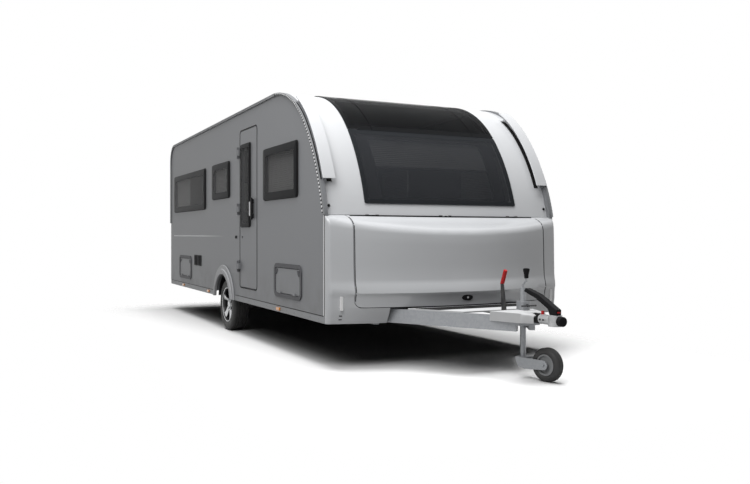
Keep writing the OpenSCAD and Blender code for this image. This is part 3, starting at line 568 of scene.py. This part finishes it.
def repeat_tree():
    """Copies of a piece: each one stepped on and turned about a centre by its number."""
    tree = bpy.data.node_groups.new("repeat_piece", "GeometryNodeTree")
    face = tree.interface
    face.new_socket("Geometry", in_out="OUTPUT", socket_type="NodeSocketGeometry")
    for label, kind in (("Piece", "Geometry"), ("Count", "Int"), ("Step", "Vector"), ("Turn", "Vector"),
            ("Centre", "Vector"), ("Finish", "Material")):
        face.new_socket(label, in_out="INPUT", socket_type="NodeSocket" + kind)
    add = tree.nodes.new
    given, result = add("NodeGroupInput"), add("NodeGroupOutput")
    points, number = add("GeometryNodePoints"), add("GeometryNodeInputIndex")
    steps, turns = add("ShaderNodeVectorMath"), add("ShaderNodeVectorMath")
    steps.operation = turns.operation = "SCALE"
    copies, spun = add("GeometryNodeInstanceOnPoints"), add("GeometryNodeRotateInstances")
    real, coat = add("GeometryNodeRealizeInstances"), add("GeometryNodeSetMaterial")
    spun.inputs["Local Space"].default_value = False
    for source, out, target, port in (
            (given, "Count", points, "Count"), (given, "Step", steps, 0), (given, "Turn", turns, 0),
            (number, 0, steps, "Scale"), (number, 0, turns, "Scale"), (steps, 0, points, "Position"),
            (points, 0, copies, "Points"), (given, "Piece", copies, "Instance"), (copies, 0, spun, "Instances"),
            (turns, 0, spun, "Rotation"), (given, "Centre", spun, "Pivot Point"), (spun, 0, real, 0),
            (real, 0, coat, "Geometry"), (given, "Finish", coat, "Material"), (coat, 0, result, 0)):
        tree.links.new(source.outputs[out], target.inputs[port])
    return tree


repeat = repeat_tree()


def repeated(name, mesh, body, material, count, step=(0, 0, 0), turn=(0, 0, 0), centre=(0, 0, 0),
        stands_for=()):
    """Copies of one small mesh as a single plain piece."""
    maker = bpy.data.objects.new(name + "_maker", mesh)
    bpy.context.scene.collection.objects.link(maker)
    modifier = maker.modifiers.new("copies", "NODES")
    modifier.node_group = repeat
    values = {"Count": count, "Step": step, "Turn": turn, "Centre": centre, "Finish": material}
    for socket in repeat.interface.items_tree:
        if socket.in_out == "INPUT" and socket.name in values:
            modifier[socket.identifier] = values[socket.name]
    settle(maker)
    made = maker.data
    bpy.data.objects.remove(maker)
    work = bmesh.new()
    work.from_mesh(made)
    bmesh.ops.remove_doubles(work, verts=work.verts, dist=weld_gap)
    work.to_mesh(made)
    work.free()
    return piece_of(name, made, body, material, stands_for)


def cloth(name, dark, light):
    made, shader, place = finish(name, "blind_cloth", IOR=1.4, Sheen_Weight=0.25)
    weave = bands(place, "X", 260.0) * bands(place, "Z", 260.0)
    paint(shader, (weave * 0.4 + noise(place, 8.0) * 0.6).blend(dark, light), weave * 0.1 + 0.75)
    raise_from(place, shader, weave, 0.3, 0.0004)
    return made


blind_cloth = cloth("blind_cloth", (0.34, 0.34, 0.34), (0.46, 0.46, 0.45))
pleat, pleat_depth = 0.02, 0.0045


def pleated_blind(name, at, behind, x0, x1, z0, z1):
    """Cloth folded in pleats that hang behind a window, one pleat copied over its height."""
    count = round((z1 - z0) / pleat)
    bends = ((0.0, 0.0), (pleat_depth, 0.5), (0.0, 1.0))
    corners = [at(x, z0 + k * pleat, -behind - fold) for fold, k in bends for x in (x0, x1)]
    mesh = bpy.data.meshes.new(name)
    mesh.from_pydata(corners, [], [(0, 1, 3, 2), (2, 3, 5, 4)])
    made = repeated(name, mesh, "body", blind_cloth, count, (0, 0, pleat), stands_for=("blinds",))
    return made


pane_round, pane_border = 0.036, 0.075
side_windows = ((0.672, 1.515, 0.975, 0.525), (-1.359, 1.603, 0.767, 0.431), (-3.557, 1.496, 1.843, 0.532))
for side, word in sides:
    for number, plan in enumerate(side_windows):
        x, z, w, h = plan
        label = f"{word}_{number}"
        pane("pane_" + label, on_wall(side), plan, pane_round, pane_border, "body", "windows")
        seal("seal_" + label, on_wall(side), plan, pane_round, "body")
        reach = 0.45 * w if number == 2 else w - 0.02
        pleated_blind("blind_" + label, on_wall(side), 0.033,
            x + 0.01, x + reach, z + 0.02, z + h - 0.02)
rear_window = (-0.72, 1.5, 1.44, 0.53)
pane("pane_rear", on_rear, rear_window, pane_round, pane_border, "body", "windows")
seal("seal_rear", on_rear, rear_window, pane_round, "body")
rear_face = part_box("blinds")[0][0]
pleated_blind("blind_rear", on_rear, rear_face - rear_end, -0.71, 0.71, 1.52, 2.01)


# FRONT BLIND
# The front window has its own pleated blind, in a curved black cassette behind the glass. It is
# drawn half down, with a rail and a small pull along its lower edge.

arc_r, arc_start = 1.822, math.radians(11.7)
arc_x, arc_z = 2.235 - arc_r * math.cos(arc_start), 1.335 - arc_r * math.sin(arc_start)


def behind_glass(y, z, depth):
    """A point behind the front glass at a height, measured in from the panel's outer face."""
    turn = math.asin((z - arc_z) / arc_r)
    return (arc_x + (arc_r - depth) * math.cos(turn), y, arc_z + (arc_r - depth) * math.sin(turn))


opening_half, opening_low, opening_high, blind_foot = 0.62, 1.515, 2.085, 1.815
loops = []
for grow, depth in ((0.0, 0.036), (0.0, 0.058), (0.015, 0.062), (0.125, 0.062), (0.125, 0.034), (0.012, 0.032)):
    ring = outline(-opening_half - grow, opening_low - grow, 2 * (opening_half + grow),
        opening_high - opening_low + 2 * grow, 0.03 + grow, 8)
    fine = []
    for (y0, z0), (y1, z1) in zip(ring, ring[1:] + ring[:1]):
        parts = max(1, round(abs(z1 - z0) / 0.04))
        fine += [(y0 + (y1 - y0) * k / parts, z0 + (z1 - z0) * k / parts) for k in range(parts)]
    loops.append([behind_glass(y, z, depth) for y, z in fine])
piece_of("front_cassette", loft(loops, wrap=True), "body", black_moulding)

blind_rows = 14
high = math.asin((opening_high - arc_z) / arc_r)
low = math.asin((blind_foot - arc_z) / arc_r)
corners, faces = [], []
for k in range(2 * blind_rows + 1):
    turn = high + (low - high) * k / (2 * blind_rows)
    reach = arc_r - 0.046 - (pleat_depth if k % 2 else 0.0)
    corners += [(arc_x + reach * math.cos(turn), y, arc_z + reach * math.sin(turn)) for y in (-0.618, 0.618)]
    if k:
        faces.append((2 * k - 2, 2 * k - 1, 2 * k + 1, 2 * k))
front_cloth = bpy.data.meshes.new("front_blind")
front_cloth.from_pydata(corners, [], faces)
front_blind = piece_of("front_blind", front_cloth, "body", blind_cloth)


def rail_across(name, z, tall, deep, half, material):
    """Drawn rail along the lower edge of the front blind, with rounded edges."""
    section = outline(-deep, -tall, 2 * deep, 2 * tall, 0.004, 3)
    loops = [[behind_glass(y, z + dz, 0.047 + dx) for dx, dz in section] for y in (-half, half)]
    return piece_of(name, loft(loops), "body", material)


frame_grey = moulded("frame_grey", "grey_plastic", (0.072, 0.073, 0.078), (0.1, 0.101, 0.107), 0.45, shine=0.15)
rail_across("front_blind_rail", 1.806, 0.011, 0.007, 0.616, frame_grey)
rail_across("front_blind_pull", 1.818, 0.005, 0.011, 0.035, pale_trim)


# EDGE TRIM
# A black strip with bright clips lines each awning rail round the front bend. Under each raised
# cover a black strip lies on the panel as painted shade for the deep, shadowed groove there. Screws
# and a rubber joint run along the skirts, and a bright strip with a gasket along the front edge of each wall.

def button(place, out, radius, rise):
    """Low round head of a screw or rivet on a surface."""
    out = Vector(out)
    side = out.orthogonal().normalized()
    other = out.cross(side)
    spin = [2 * math.pi * k / 12 for k in range(12)]
    steps = ((1.0, -0.4), (1.0, 0.35), (0.85, 0.75), (0.5, 1.0), (0.3, 1.0), (0.25, 0.6))
    return loft([[Vector(place) + (side * math.cos(t) + other * math.sin(t)) * radius * f + out * rise * u
        for t in spin] for f, u in steps])


def wall_fitting(name, side, x, z, size, radius, steps, body, material):
    place = (x, side * wall_face, z)
    return fitting(name, place, (-side, 0, 0), z_axis, size, radius, steps, body, material)


# Arcs of the rail's bend, by centre and radius, and the turn where they meet.
low_arc, high_arc, meeting = (0.46843, 0.95036, 1.837), (0.97909, 1.41017, 1.14983), 42.0


def ray_at(degrees):
    turn = math.radians(degrees)
    return Vector((math.cos(turn), 0, math.sin(turn)))


def along_bend(first, last, low_count, high_count):
    """Stations along the bend, each with its arc and turn."""
    return ([(low_arc, first + (meeting - first) * k / low_count) for k in range(low_count)]
        + [(high_arc, meeting + (last - meeting) * k / high_count) for k in range(high_count + 1)])


def bend_strip(name, stations, side, section):
    """Rubber strip round the bend; its section is given across the body and out from the arc."""
    loops = [[Vector((cx, side * y, cz)) + ray_at(turn) * (r + d) for y, d in section]
        for (cx, cz, r), turn in stations]
    return piece_of(name, loft(loops), "body", rubber)


bright_insert = anodised("bright_insert", (0.52, 0.525, 0.53), (0.64, 0.645, 0.65), 0.28)
skirt_runs = (("rear", -3.7, 12, (-3.825, -1.325)), ("front", -0.25, 13, (-0.375, 2.25)))
clip_gap, trim_middle, trim_tall = 0.036, 0.898, 0.866
for side, word in sides:
    for run, x, count, (start, end) in skirt_runs:
        screw = button((x, side * 1.232, 0.429), (0, side, 0), 0.0055, 0.003)
        repeated(f"skirt_screws_{run}_{word}", screw, "body", skirt_metal, count, (0.2, 0, 0))
        wall_fitting(f"skirt_joint_{run}_{word}", side, (start + end) / 2, 0.4605, (end - start, 0.0055), 0.0015,
            ((0.0, -0.001), (0.0, 0.003), (0.001, 0.0036)), "body", rubber)
    bend_strip("rail_strip_" + word, along_bend(12.5, 88.0, 24, 24), side,
        ((1.2445, -0.0115), (1.247, -0.0105), (1.247, 0.0115), (1.2445, 0.0125)))
    cover_length = along_bend(22.0, 58.0, 12, 10)
    # Black strip on the panel under the raised cover: painted shade for the deep groove's shadow.
    shade_beds = []
    for (cx, cz, r), turn in cover_length:
        ray = ray_at(turn)
        inner, outer = [surface_at("front_panel", Vector((cx, side * y, cz)) + ray * 2.5, -ray)[0]
            for y in (1.108, 1.1555)]
        shade_beds.append([hit + ray * rise for hit, rise in
            ((inner, -0.001), (inner, 0.002), (outer, 0.002), (outer, -0.001))])
    piece_of("cover_gap_" + word, loft(shade_beds), "body", rubber)
    bend_strip("rail_joint_" + word, cover_length, side,
        ((1.2185, 0.012), (1.2185, 0.0155), (1.2295, 0.0155), (1.2295, 0.012)))
    for (cx, cz, r), label, first, count in ((low_arc, "lower", 13.1, 26), (high_arc, "upper", 42.8, 25)):
        ray = ray_at(first)
        across = Vector((-ray.z, 0, ray.x))
        ring = [Vector((cx, side * 1.247, cz)) + ray * (r + py) + across * px
            for px, py in outline(-0.01, -0.005, 0.02, 0.015, 0.005, 4)]
        middle = sum(ring, Vector()) / len(ring)
        clip = loft([[middle + (p - middle) * f + Vector((0, side * u, 0)) for p in ring]
            for f, u in ((1.0, -0.001), (1.0, 0.0025), (0.8, 0.0045), (0.55, 0.0048))])
        repeated(f"rail_clips_{label}_{word}", clip, "body", bright_insert, count,
            turn=(0, -clip_gap / r, 0), centre=(cx, 0, cz))
    wall_fitting("edge_trim_" + word, side, 2.2615, trim_middle, (0.018, trim_tall), 0.003,
        ((0.0, -0.002), (0.0, 0.002), (0.002, 0.0035), (0.005, 0.0035)), "body", bright_insert)
    wall_fitting("edge_gasket_" + word, side, 2.2738, trim_middle, (0.0065, trim_tall), 0.002,
        ((0.0, -0.002), (0.0, 0.002), (0.001, 0.003)), "body", rubber)


# ENTRANCE DOOR
# A leaf cut from the same panel as the wall, with its tall window, three hinges at the rear
# edge and a black bow handle.

soften("entrance_door", wall_grey, 0.002)
door_window = (-0.14, 1.248, 0.35, 0.923)
pane("door_pane", on_wall(-1), door_window, 0.024, 0.045, "door", "door_window")
seal("door_seal", on_wall(-1), door_window, 0.024, "door")
seal("door_lip", on_wall(-1), (-0.189, 0.564, 0.618, 1.772), 0.046, "body", 0.003)
soften("door_handle", black_moulding, 0.0075, steps=4)
wall_fitting("handle_flap", -1, 0.2515, 1.442, (0.056, 0.156), 0.014,
    ((0.0, -0.002), (0.0, 0.02), (0.003, 0.025), (0.007, 0.026), (0.012, 0.023)), "door", bright_insert)
catch_height = 1.133
wall_fitting("door_stop", -1, -0.332, catch_height, (0.034, 0.034), 0.0169,
    ((0.0, -0.003), (0.0, 0.01), (0.003, 0.013), (0.008, 0.014)), "body", black_moulding)
wall_fitting("door_catch", -1, -0.094, catch_height, (0.026, 0.026), 0.0129,
    ((0.0, -0.003), (0.0, 0.003), (0.002, 0.005), (0.006, 0.005)), "door", frame_grey)


# HATCHES AND VENTS
# Service flaps cut from the wall's own panel, in moulded dark grey frames with a small lock
# in each upper corner, and two slotted black vents pressed into the wall beside the rear one.

soften("hatch_frames", frame_grey, 0.003)
soften("hatch_front", wall_grey, 0.002)
soften("hatch_rear", wall_grey, 0.002)
soften("vents", black_moulding, 0.001)


def corner_lock(name, x, z, way, body):
    """Three-cornered lock in the upper corner of a flap, its long side bowed."""
    ring = [(0, 0), (0.052, 0), (0.047, -0.016), (0.036, -0.032), (0.02, -0.047), (0, -0.056)]
    mx, mz = 0.022, -0.022
    loops = []
    for inset, depth in ((0.0, 0.001), (0.0, 0.006), (0.003, 0.009)):
        shrink = 1 - inset / 0.03
        loops.append([(x + way * (mx + (px - mx) * shrink), -1.232 - depth, z + mz + (pz - mz) * shrink)
            for px, pz in ring])
    return piece_of(name, loft(loops), body, frame_grey)


for body, rear, front, top in (("hatch_front", 1.039, 1.701, 0.835), ("hatch_rear", -3.19, -2.55, 0.815)):
    corner_lock("lock_a_" + body, rear + 0.012, top - 0.01, 1, body)
    corner_lock("lock_b_" + body, front - 0.012, top - 0.01, -1, body)


# LAMPS
# Amber markers along the skirt, white reflectors low on the front corners, and red rear lamps
# with amber ends. Their lenses are clear mouldings with a ribbed inner face.

def lens(name, dark, light, ends=None, coat=0.6, shine=0.5):
    """Ribbed lens; ends gives the tones of the outer part of a lamp."""
    made, shader, place = finish(name, name, IOR=1.5, Coat_Weight=coat, Coat_Roughness=0.03,
        Specular_IOR_Level=shine)
    prism = bands(place, "X", 70.0) * 0.5 + bands(place, "Z", 70.0) * 0.5
    colour = prism.blend(dark, light)
    if ends:
        colour = place.part(1).size().past(1.0465, 0.0015).blend(colour, prism.blend(*ends))
    paint(shader, colour, prism * 0.12 + 0.1)
    raise_from(place, shader, prism, 0.4, 0.0012)
    return made


amber = ((0.6, 0.17, 0.01), (0.92, 0.36, 0.03))
soften("side_markers", lens("amber_lens", *amber), 0.003)
soften("front_reflectors", lens("white_lens", (0.84, 0.84, 0.84), (0.96, 0.96, 0.96)), 0.003)
red_lens = lens("red_lens", (0.4, 0.008, 0.008), (0.72, 0.025, 0.02), amber, 0.0, 0.08)
soften("rear_lamps", red_lens, 0.004)


# ROOF HATCHES
# White moulded frames bonded to the roof sheet, a large one ahead and a square one behind,
# each with a shallow dome of opal acrylic set into it.

white_moulding = moulded("white_moulding", "white_plastic", (0.6, 0.6, 0.59), (0.7, 0.7, 0.69), 0.35)
soften("rooflights", white_moulding, 0.01, steps=3)
opal = tinted("opal_acrylic", (0.36, 0.37, 0.38), 0.93, 0.12, slot="white_plastic")
for word, x, size in (("front", 0.15, (0.83, 0.59)), ("rear", -2.6, (0.39, 0.39))):
    spot, lean = top_at("rooflights", x, 0, 4.0)
    fitting("roof_dome_" + word, spot, lean.cross((0, -1, 0)), y_axis, size, 0.055,
        ((0.0, -0.003), (0.0, 0.0015), (0.003, 0.0035), (0.016, 0.005), (0.05, 0.0058)), "body", opal)


# DRAWBAR FITTINGS
# Pale covers between the arms and over the overrun gear, a rubber gaiter, the cast coupling head
# with its black handle, and the handbrake lever with a red grip. A black sheet on the rear of the
# cover is painted shade: it stands for the shadowed open gap there.

pale_cover = moulded("pale_cover", "white_plastic", (0.5, 0.505, 0.51), (0.6, 0.605, 0.61), 0.38)
soften("drawbar_cover", pale_cover, 0.004, steps=3)
pace = 0.004


def half_width(node, x, limit):
    """How far a CAD node's top reaches to each side at a place along it."""
    reach = 0.0
    while reach < limit and top_at(node, x, reach + pace)[0]:
        reach += pace
    return reach


# Black sheet on the cover's rear: painted shade for the shadowed open gap behind the lid.
loops = []
for x in (2.65, 2.72, 2.78, 2.845):
    half = half_width("drawbar_cover", x, 1.0) - pace
    top = top_at("drawbar_cover", x, 0)[0].z
    loops.append([(x, y, top + z) for y, z in ((-half, -0.001), (-half, 0.0025), (half, 0.0025), (half, -0.001))])
piece_of("open_gap_shade", loft(loops), "body", rubber)

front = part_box("drawbar_cover")[1][0]
half = half_width("drawbar_cover", front - 0.012, 0.3)
top = top_at("drawbar_cover", front - 0.012, 0)[0].z
foot, wall = top - 0.074, 0.004
loops = []
for ahead, wide, drop in ((-0.001, half, 0.0003), (0.01, half - 0.004, 0.0005), (0.04, 0.084, 0.003),
        (0.062, 0.062, 0.008), (0.074, 0.054, 0.014)):
    peak = top - drop
    right = [(-wide, foot), (-wide, peak - 0.012), (-wide + 0.004, peak - 0.004), (-wide + 0.012, peak)]
    inside = [(wide - wall, foot), (wide - wall, peak - wall - 0.01), (wide - wall - 0.01, peak - wall)]
    section = right + [(-y, z) for y, z in right[::-1]] + inside + [(-y, z) for y, z in inside[::-1]]
    loops.append([(front + ahead, y, z) for y, z in section])
piece_of("hood_nose", loft(loops), "body", pale_cover)


def turned(profile, centre, axis, count, wrap=False):
    """Mesh turned about an axis from a list of radius and distance along it."""
    axis = Vector(axis).normalized()
    side = axis.orthogonal().normalized()
    other = axis.cross(side)
    spin = [2 * math.pi * k / count for k in range(count)]
    return loft([[Vector(centre) + side * (r * math.cos(t)) + other * (r * math.sin(t)) + axis * u for t in spin]
        for r, u in profile], wrap=wrap)


def hexagon(radius):
    return [(radius * math.cos(math.pi * k / 3), radius * math.sin(math.pi * k / 3)) for k in range(6)]


tow_height = 0.515
gaiter = moulded("gaiter_rubber", "gaiter_rubber", (0.009, 0.009, 0.009), (0.022, 0.022, 0.022), 0.58)
folds = [(0.0335 + 0.0065 * math.cos(2 * math.pi * k / 8), 0.062 + 0.0122 * k / 8) for k in range(51)]
bellows = turned([(0.027, 0.0), (0.027, 0.056), (0.04, 0.058), *folds, (0.04, 0.1385), (0.027, 0.14)],
    (3.5, 0, tow_height), x_axis, 40)
piece_of("gaiter_bellows", bellows, "body", gaiter, ("overrun_gaiter",))
cast_silver = zinc("cast_silver", "cast_head", (0.36, 0.365, 0.37), (0.52, 0.525, 0.53), 0.32)
soften("coupling_head", cast_silver, 0.004, steps=3)
soften("coupling_handle", black_moulding, 0.006, steps=3)
cap = turned([(0.0375, 0.0), (0.0375, 0.034), (0.0368, 0.038), (0.0345, 0.0405), (0.01, 0.041)],
    (3.852, 0, tow_height), x_axis, 40)
piece_of("nose_cap", cap, "body", black_moulding)
red_stud = moulded("red_stud", "red_grip", (0.4, 0.01, 0.012), (0.55, 0.022, 0.022), 0.35)
stud = turned([(0.0125, 0.0), (0.0125, 0.024), (0.0105, 0.029), (0.004, 0.031)], (3.654, 0, 0.548), z_axis, 24)
piece_of("safety_stud", stud, "body", red_stud)
fitting("handle_mark", (3.84, 0, 0.578), y_axis, z_axis, (0.03, 0.012), 0.005,
    ((0.0, -0.003), (0.0, 0.002), (0.002, 0.003)), "body", red_stud)
for side, word in sides:
    for x in (3.668, 3.708):
        loops = [[(x + px * f, side * (0.0355 + d), tow_height + pz * f) for px, pz in hexagon(0.0085)]
            for d, f in ((0.0, 1.0), (0.008, 1.0), (0.01, 0.8))]
        piece_of(f"head_bolt_{round(x * 1000)}_{word}", loft(loops), "body", black_coat)
soften("handbrake_lever", black_coat, 0.002)
red_grip = moulded("red_grip", "red_grip", (0.36, 0.01, 0.012), (0.52, 0.022, 0.022), 0.4)
soften("handbrake_grip", red_grip, 0.005, steps=3)


# JOCKEY WHEEL
# A zinc-coated post in a clamp on the left arm, with a crank on top and a fork that swivels
# below, carrying a solid black tyre on a pale rim.

soften("jockey_post", galvanised, 0.002)
soften("jockey_fork", galvanised, 0.002)
knob = turned([(0.0155, 0.0), (0.0175, 0.006), (0.0185, 0.03), (0.0255, 0.058), (0.0268, 0.072), (0.0245, 0.079),
    (0.012, 0.0815)], (3.352, 0.078, 0.81), z_axis, 28)
piece_of("crank_knob", knob, "body", black_moulding)
clamp_height = 0.587
clamp_bolt = turned([(0.012, 0.0), (0.012, 0.01), (0.0075, 0.012), (0.0075, 0.03)],
    (3.334, 0.098, clamp_height), x_axis, 20)
piece_of("clamp_bolt", clamp_bolt, "body", black_coat)
clamp_bar = turned([(0.004, 0.0), (0.0075, 0.003), (0.0075, 0.01), (0.006, 0.014), (0.006, 0.136), (0.0075, 0.14),
    (0.0075, 0.147), (0.004, 0.15)], (3.36, 0.023, clamp_height), y_axis, 20)
piece_of("clamp_bar", clamp_bar, "body", black_coat)


def tyre_rubber(name, black, grey):
    made, shader, place = finish(name, "tyre", IOR=1.5)
    dust = noise(place, 14.0, 6.0).step(0.4, 0.75)
    paint(shader, dust.blend(black, grey), dust * 0.2 + 0.55)
    raise_from(place, shader, noise(place, 380.0, 2.0), 0.25, 0.0005)
    return made


tyre_black = tyre_rubber("tyre_black", (0.01, 0.01, 0.01), (0.03, 0.029, 0.028))
jockey_turn = math.radians(12)
jockey_axis = (-math.sin(jockey_turn), math.cos(jockey_turn), 0)
ribs = [(0.1345 - (0.004 if k % 4 in (1, 2) else 0.0), -0.0225 + 0.045 * (k + 0.5) / 12) for k in range(12)]
flank = [(0.0845, 0.036), (0.092, 0.041), (0.104, 0.042), (0.118, 0.0405), (0.128, 0.034), (0.133, 0.026)]
jockey_section = [(r, -u) for r, u in flank] + ribs + flank[::-1]
piece_of("jockey_tyre_rubber", turned(jockey_section, (3.536, 0.144, 0.135), jockey_axis, 72, True),
    "jockey_wheel", tyre_black, ("jockey_tyre",))
soften("jockey_rim", pale_trim, 0.002, slot="white_plastic")


# ROAD WHEELS
# Radial tyres on cast alloy rims with five broad spokes, turned bright on their faces and
# painted black in the pockets.

def alloy(name):
    """Cast wheel, turned bright where it faces outward and painted black in its pockets."""
    made, shader, place = finish(name, "alloy", Coat_Roughness=0.05, IOR=1.5)
    normal = Socket(place.tree, place.socket.node.outputs["Normal"])
    facing = normal.part(1).size().step(0.7, 0.8)
    lines = noise(place, 90.0, 2.0)
    bright = lines.blend((0.6, 0.61, 0.62), (0.72, 0.73, 0.74))
    paint(shader, facing.blend((0.01, 0.01, 0.011), bright), lines * 0.1 + 0.26)
    feed(shader.inputs["Metallic"], facing * 0.6)
    raise_from(place, shader, lines, 0.06, 0.0003)
    return made


two_tone = alloy("two_tone_alloy")
half_section = [(0.2095, 0.0825), (0.2135, 0.09), (0.221, 0.095), (0.2235, 0.095), (0.226, 0.0966),
    (0.242, 0.0972), (0.2435, 0.096), (0.248, 0.096), (0.2495, 0.0972), (0.266, 0.0966),
    (0.282, 0.093), (0.293, 0.087), (0.301, 0.078), (0.305, 0.069), (0.3072, 0.06),
    (0.308, 0.05), (0.301, 0.0492), (0.301, 0.0418), (0.3088, 0.041), (0.3096, 0.0215),
    (0.302, 0.0208), (0.302, 0.0122), (0.3098, 0.0115)]
section = [(r, -u) for r, u in half_section] + half_section[::-1]
barrel = [(0.2025, -0.0855), (0.2025, 0.079), (0.2085, 0.0825), (0.2085, 0.088), (0.205, 0.0905),
    (0.1975, 0.088), (0.193, 0.079), (0.19, 0.05), (0.186, 0.0), (0.19, -0.0855)]
hub = [(0.074, 0.03), (0.074, 0.056), (0.07, 0.06), (0.04, 0.0575), (0.037, 0.059), (0.035, 0.065),
    (0.026, 0.0705), (0.01, 0.0725), (0.001, 0.0725), (0.001, 0.064), (0.03, 0.064), (0.03, 0.03)]


def spoke(centre, outward):
    """One broad spoke: it leans round as it runs out, and one long edge stands higher than the other."""
    loops = []
    for r, wide, turn, front, tilt in ((0.066, 0.058, 0.0, 0.0585, 0.004), (0.09, 0.046, 3.0, 0.0625, 0.007),
            (0.115, 0.044, 6.0, 0.066, 0.009), (0.14, 0.05, 8.5, 0.0695, 0.01),
            (0.165, 0.064, 10.0, 0.0735, 0.009), (0.1905, 0.088, 10.5, 0.079, 0.006)):
        half = wide / 2
        shape = ((-half, front - 0.03), (-half, front - 0.005), (0.004 - half, front), (0, front - tilt / 4),
            (half - 0.006, front - tilt), (half, front - tilt - 0.005), (half, front - 0.03))
        cos, sin = math.cos(math.radians(turn)), math.sin(math.radians(turn))
        loops.append([(centre[0] + cos * r - sin * t, centre[1] + outward * u, centre[2] + sin * r + cos * t)
            for t, u in shape])
    return loft(loops)


def tread_block(centre):
    """One shoulder block on each side of the tread."""
    cx, cy, cz = centre
    work = bmesh.new()
    for side in (-1, 1):
        rows = []
        for r, u in ((0.296, 0.0795), (0.303, 0.0785), (0.3078, 0.0665), (0.3092, 0.0545), (0.304, 0.054)):
            rows.append([work.verts.new((cx + r * math.cos(t), cy + side * u, cz + r * math.sin(t)))
                for t in (-0.033, 0.033)])
        for one, two in zip(rows, rows[1:] + rows[:1]):
            work.faces.new((one[0], one[1], two[1], two[0]))
        for end in (0, 1):
            work.faces.new([row[end] for row in rows])
    bmesh.ops.recalc_face_normals(work, faces=work.faces)
    mesh = bpy.data.meshes.new("tread_block")
    work.to_mesh(mesh)
    work.free()
    return mesh


wheel_x, wheel_y, wheel_z = -0.85, 1.1025, 0.31
block_count, spoke_count = 64, 5
bolt_reach, bolt_turn = 0.056, math.radians(36)
for outward, word in sides:
    centre = (wheel_x, outward * wheel_y, wheel_z)
    axis = (0, outward, 0)
    body = "wheel_" + word
    tyre = turned(section, centre, axis, 96, True)
    piece_of("tyre_rubber_" + word, tyre, body, tyre_black, ("tyre_" + word,))
    repeated("tread_blocks_" + word, tread_block(centre), body, tyre_black, block_count,
        turn=(0, 2 * math.pi / block_count, 0), centre=centre)
    rim = turned(barrel, centre, axis, 72, True)
    piece_of("rim_barrel_" + word, rim, body, two_tone, ("rim_" + word,))
    piece_of("rim_hub_" + word, turned(hub, centre, axis, 48, True), body, two_tone)
    spoke_turn = (0, 2 * math.pi / spoke_count, 0)
    spokes = repeated("rim_spokes_" + word, spoke(centre, outward), body, two_tone, spoke_count,
        turn=spoke_turn, centre=centre)
    rounded(spokes.data, 30.0)
    x, z = wheel_x + bolt_reach * math.cos(bolt_turn), wheel_z + bolt_reach * math.sin(bolt_turn)
    loops = [[(x + px * f, centre[1] + outward * u, z + pz * f) for px, pz in hexagon(0.0095)]
        for u, f in ((0.054, 1.25), (0.06, 1.25), (0.0605, 1.0), (0.068, 1.0), (0.0695, 0.75))]
    repeated("wheel_bolts_" + word, loft(loops), body, galvanised, spoke_count, turn=spoke_turn, centre=centre)


# STUDIO
# A pale floor without edges, darker under the body to deepen its shadow, a wide soft box above,
# a second one at the left in front, and an even pale surround.

scene = bpy.context.scene
floor_mesh = bpy.data.meshes.new("studio_floor")
floor_mesh.from_pydata([(-60, -60, 0), (60, -60, 0), (60, 60, 0), (-60, 60, 0)], [], [(0, 1, 2, 3)])
floor = bpy.data.objects.new("studio_floor", floor_mesh)
scene.collection.objects.link(floor)
floor_paint, floor_shader, floor_place = finish("floor_paint", None, Roughness=0.9, Specular_IOR_Level=0.0)


def in_sight(tree):
    """1 for what the camera sees, directly, mirrored or through glass, and 0 for stray light."""
    path = tree.nodes.new("ShaderNodeLightPath").outputs
    direct, mirrored, through = [Socket(tree, path[kind]) for kind in
        ("Is Camera Ray", "Is Glossy Ray", "Is Transmission Ray")]
    return (direct + mirrored + through).step(0.0, 1.0)


def beyond(place, centre, half):
    """How far a place on the floor lies outside a rectangle."""
    x, y = [((place.part(axis) - centre[axis]).size() - half[axis]).most(0.0) for axis in (0, 1)]
    return x.math("SQRT", x * x + y * y)


seen = in_sight(floor_place.tree)
away = beyond(floor_place, (0.0, 0.0), (3.7, 1.2)).step(0.25, 1.3)
pale = noise(floor_place, 0.4).blend((0.95, 0.95, 0.95), (0.96, 0.96, 0.96))
shaded = beyond(floor_place, (-0.76, 0.0), (2.54, 0.75)).step(0.08, 0.48).blend((0.36, 0.36, 0.36), pale)
feed(floor_shader.inputs["Base Color"], seen.blend((0.22, 0.22, 0.22), shaded))
feed(floor_shader.inputs["Alpha"], 1 - away * seen)
floor_mesh.materials.append(floor_paint)

world = bpy.data.worlds.new("surround")
scene.world = world
world.use_nodes = True
sky = world.node_tree.nodes["Background"]
sky.inputs["Color"].default_value = (1.0, 1.0, 1.0, 1.0)
feed(sky.inputs["Strength"], in_sight(world.node_tree) * 0.975 + 0.025)


def soft_box(name, place, aim, size, power):
    lamp = bpy.data.lights.new(name, "AREA")
    lamp.size = size
    lamp.energy = power
    made = bpy.data.objects.new(name, lamp)
    made.location = place
    made.rotation_euler = (Vector(aim) - Vector(place)).to_track_quat("-Z", "Y").to_euler()
    scene.collection.objects.link(made)
    return made


soft_box("box_above", (0.8, -0.8, 14.0), (0.8, -0.8, 0.0), 10.0, 2560.0).visible_glossy = False
soft_box("box_left", (4.8, -4.4, 5.6), (1.8, -0.4, 1.0), 4.5, 310.0)

view = bpy.data.cameras.new("camera")
view.sensor_width = 36.0
view.sensor_fit = "HORIZONTAL"
view.lens = 37.13
view.shift_y = -0.0104
camera = bpy.data.objects.new("camera", view)
camera.location = (8.379, -3.8208, 1.1655)
camera.rotation_euler = (math.radians(90), 0, math.radians(63.275))
scene.collection.objects.link(camera)
scene.camera = camera
scene.view_settings.view_transform = "Standard"
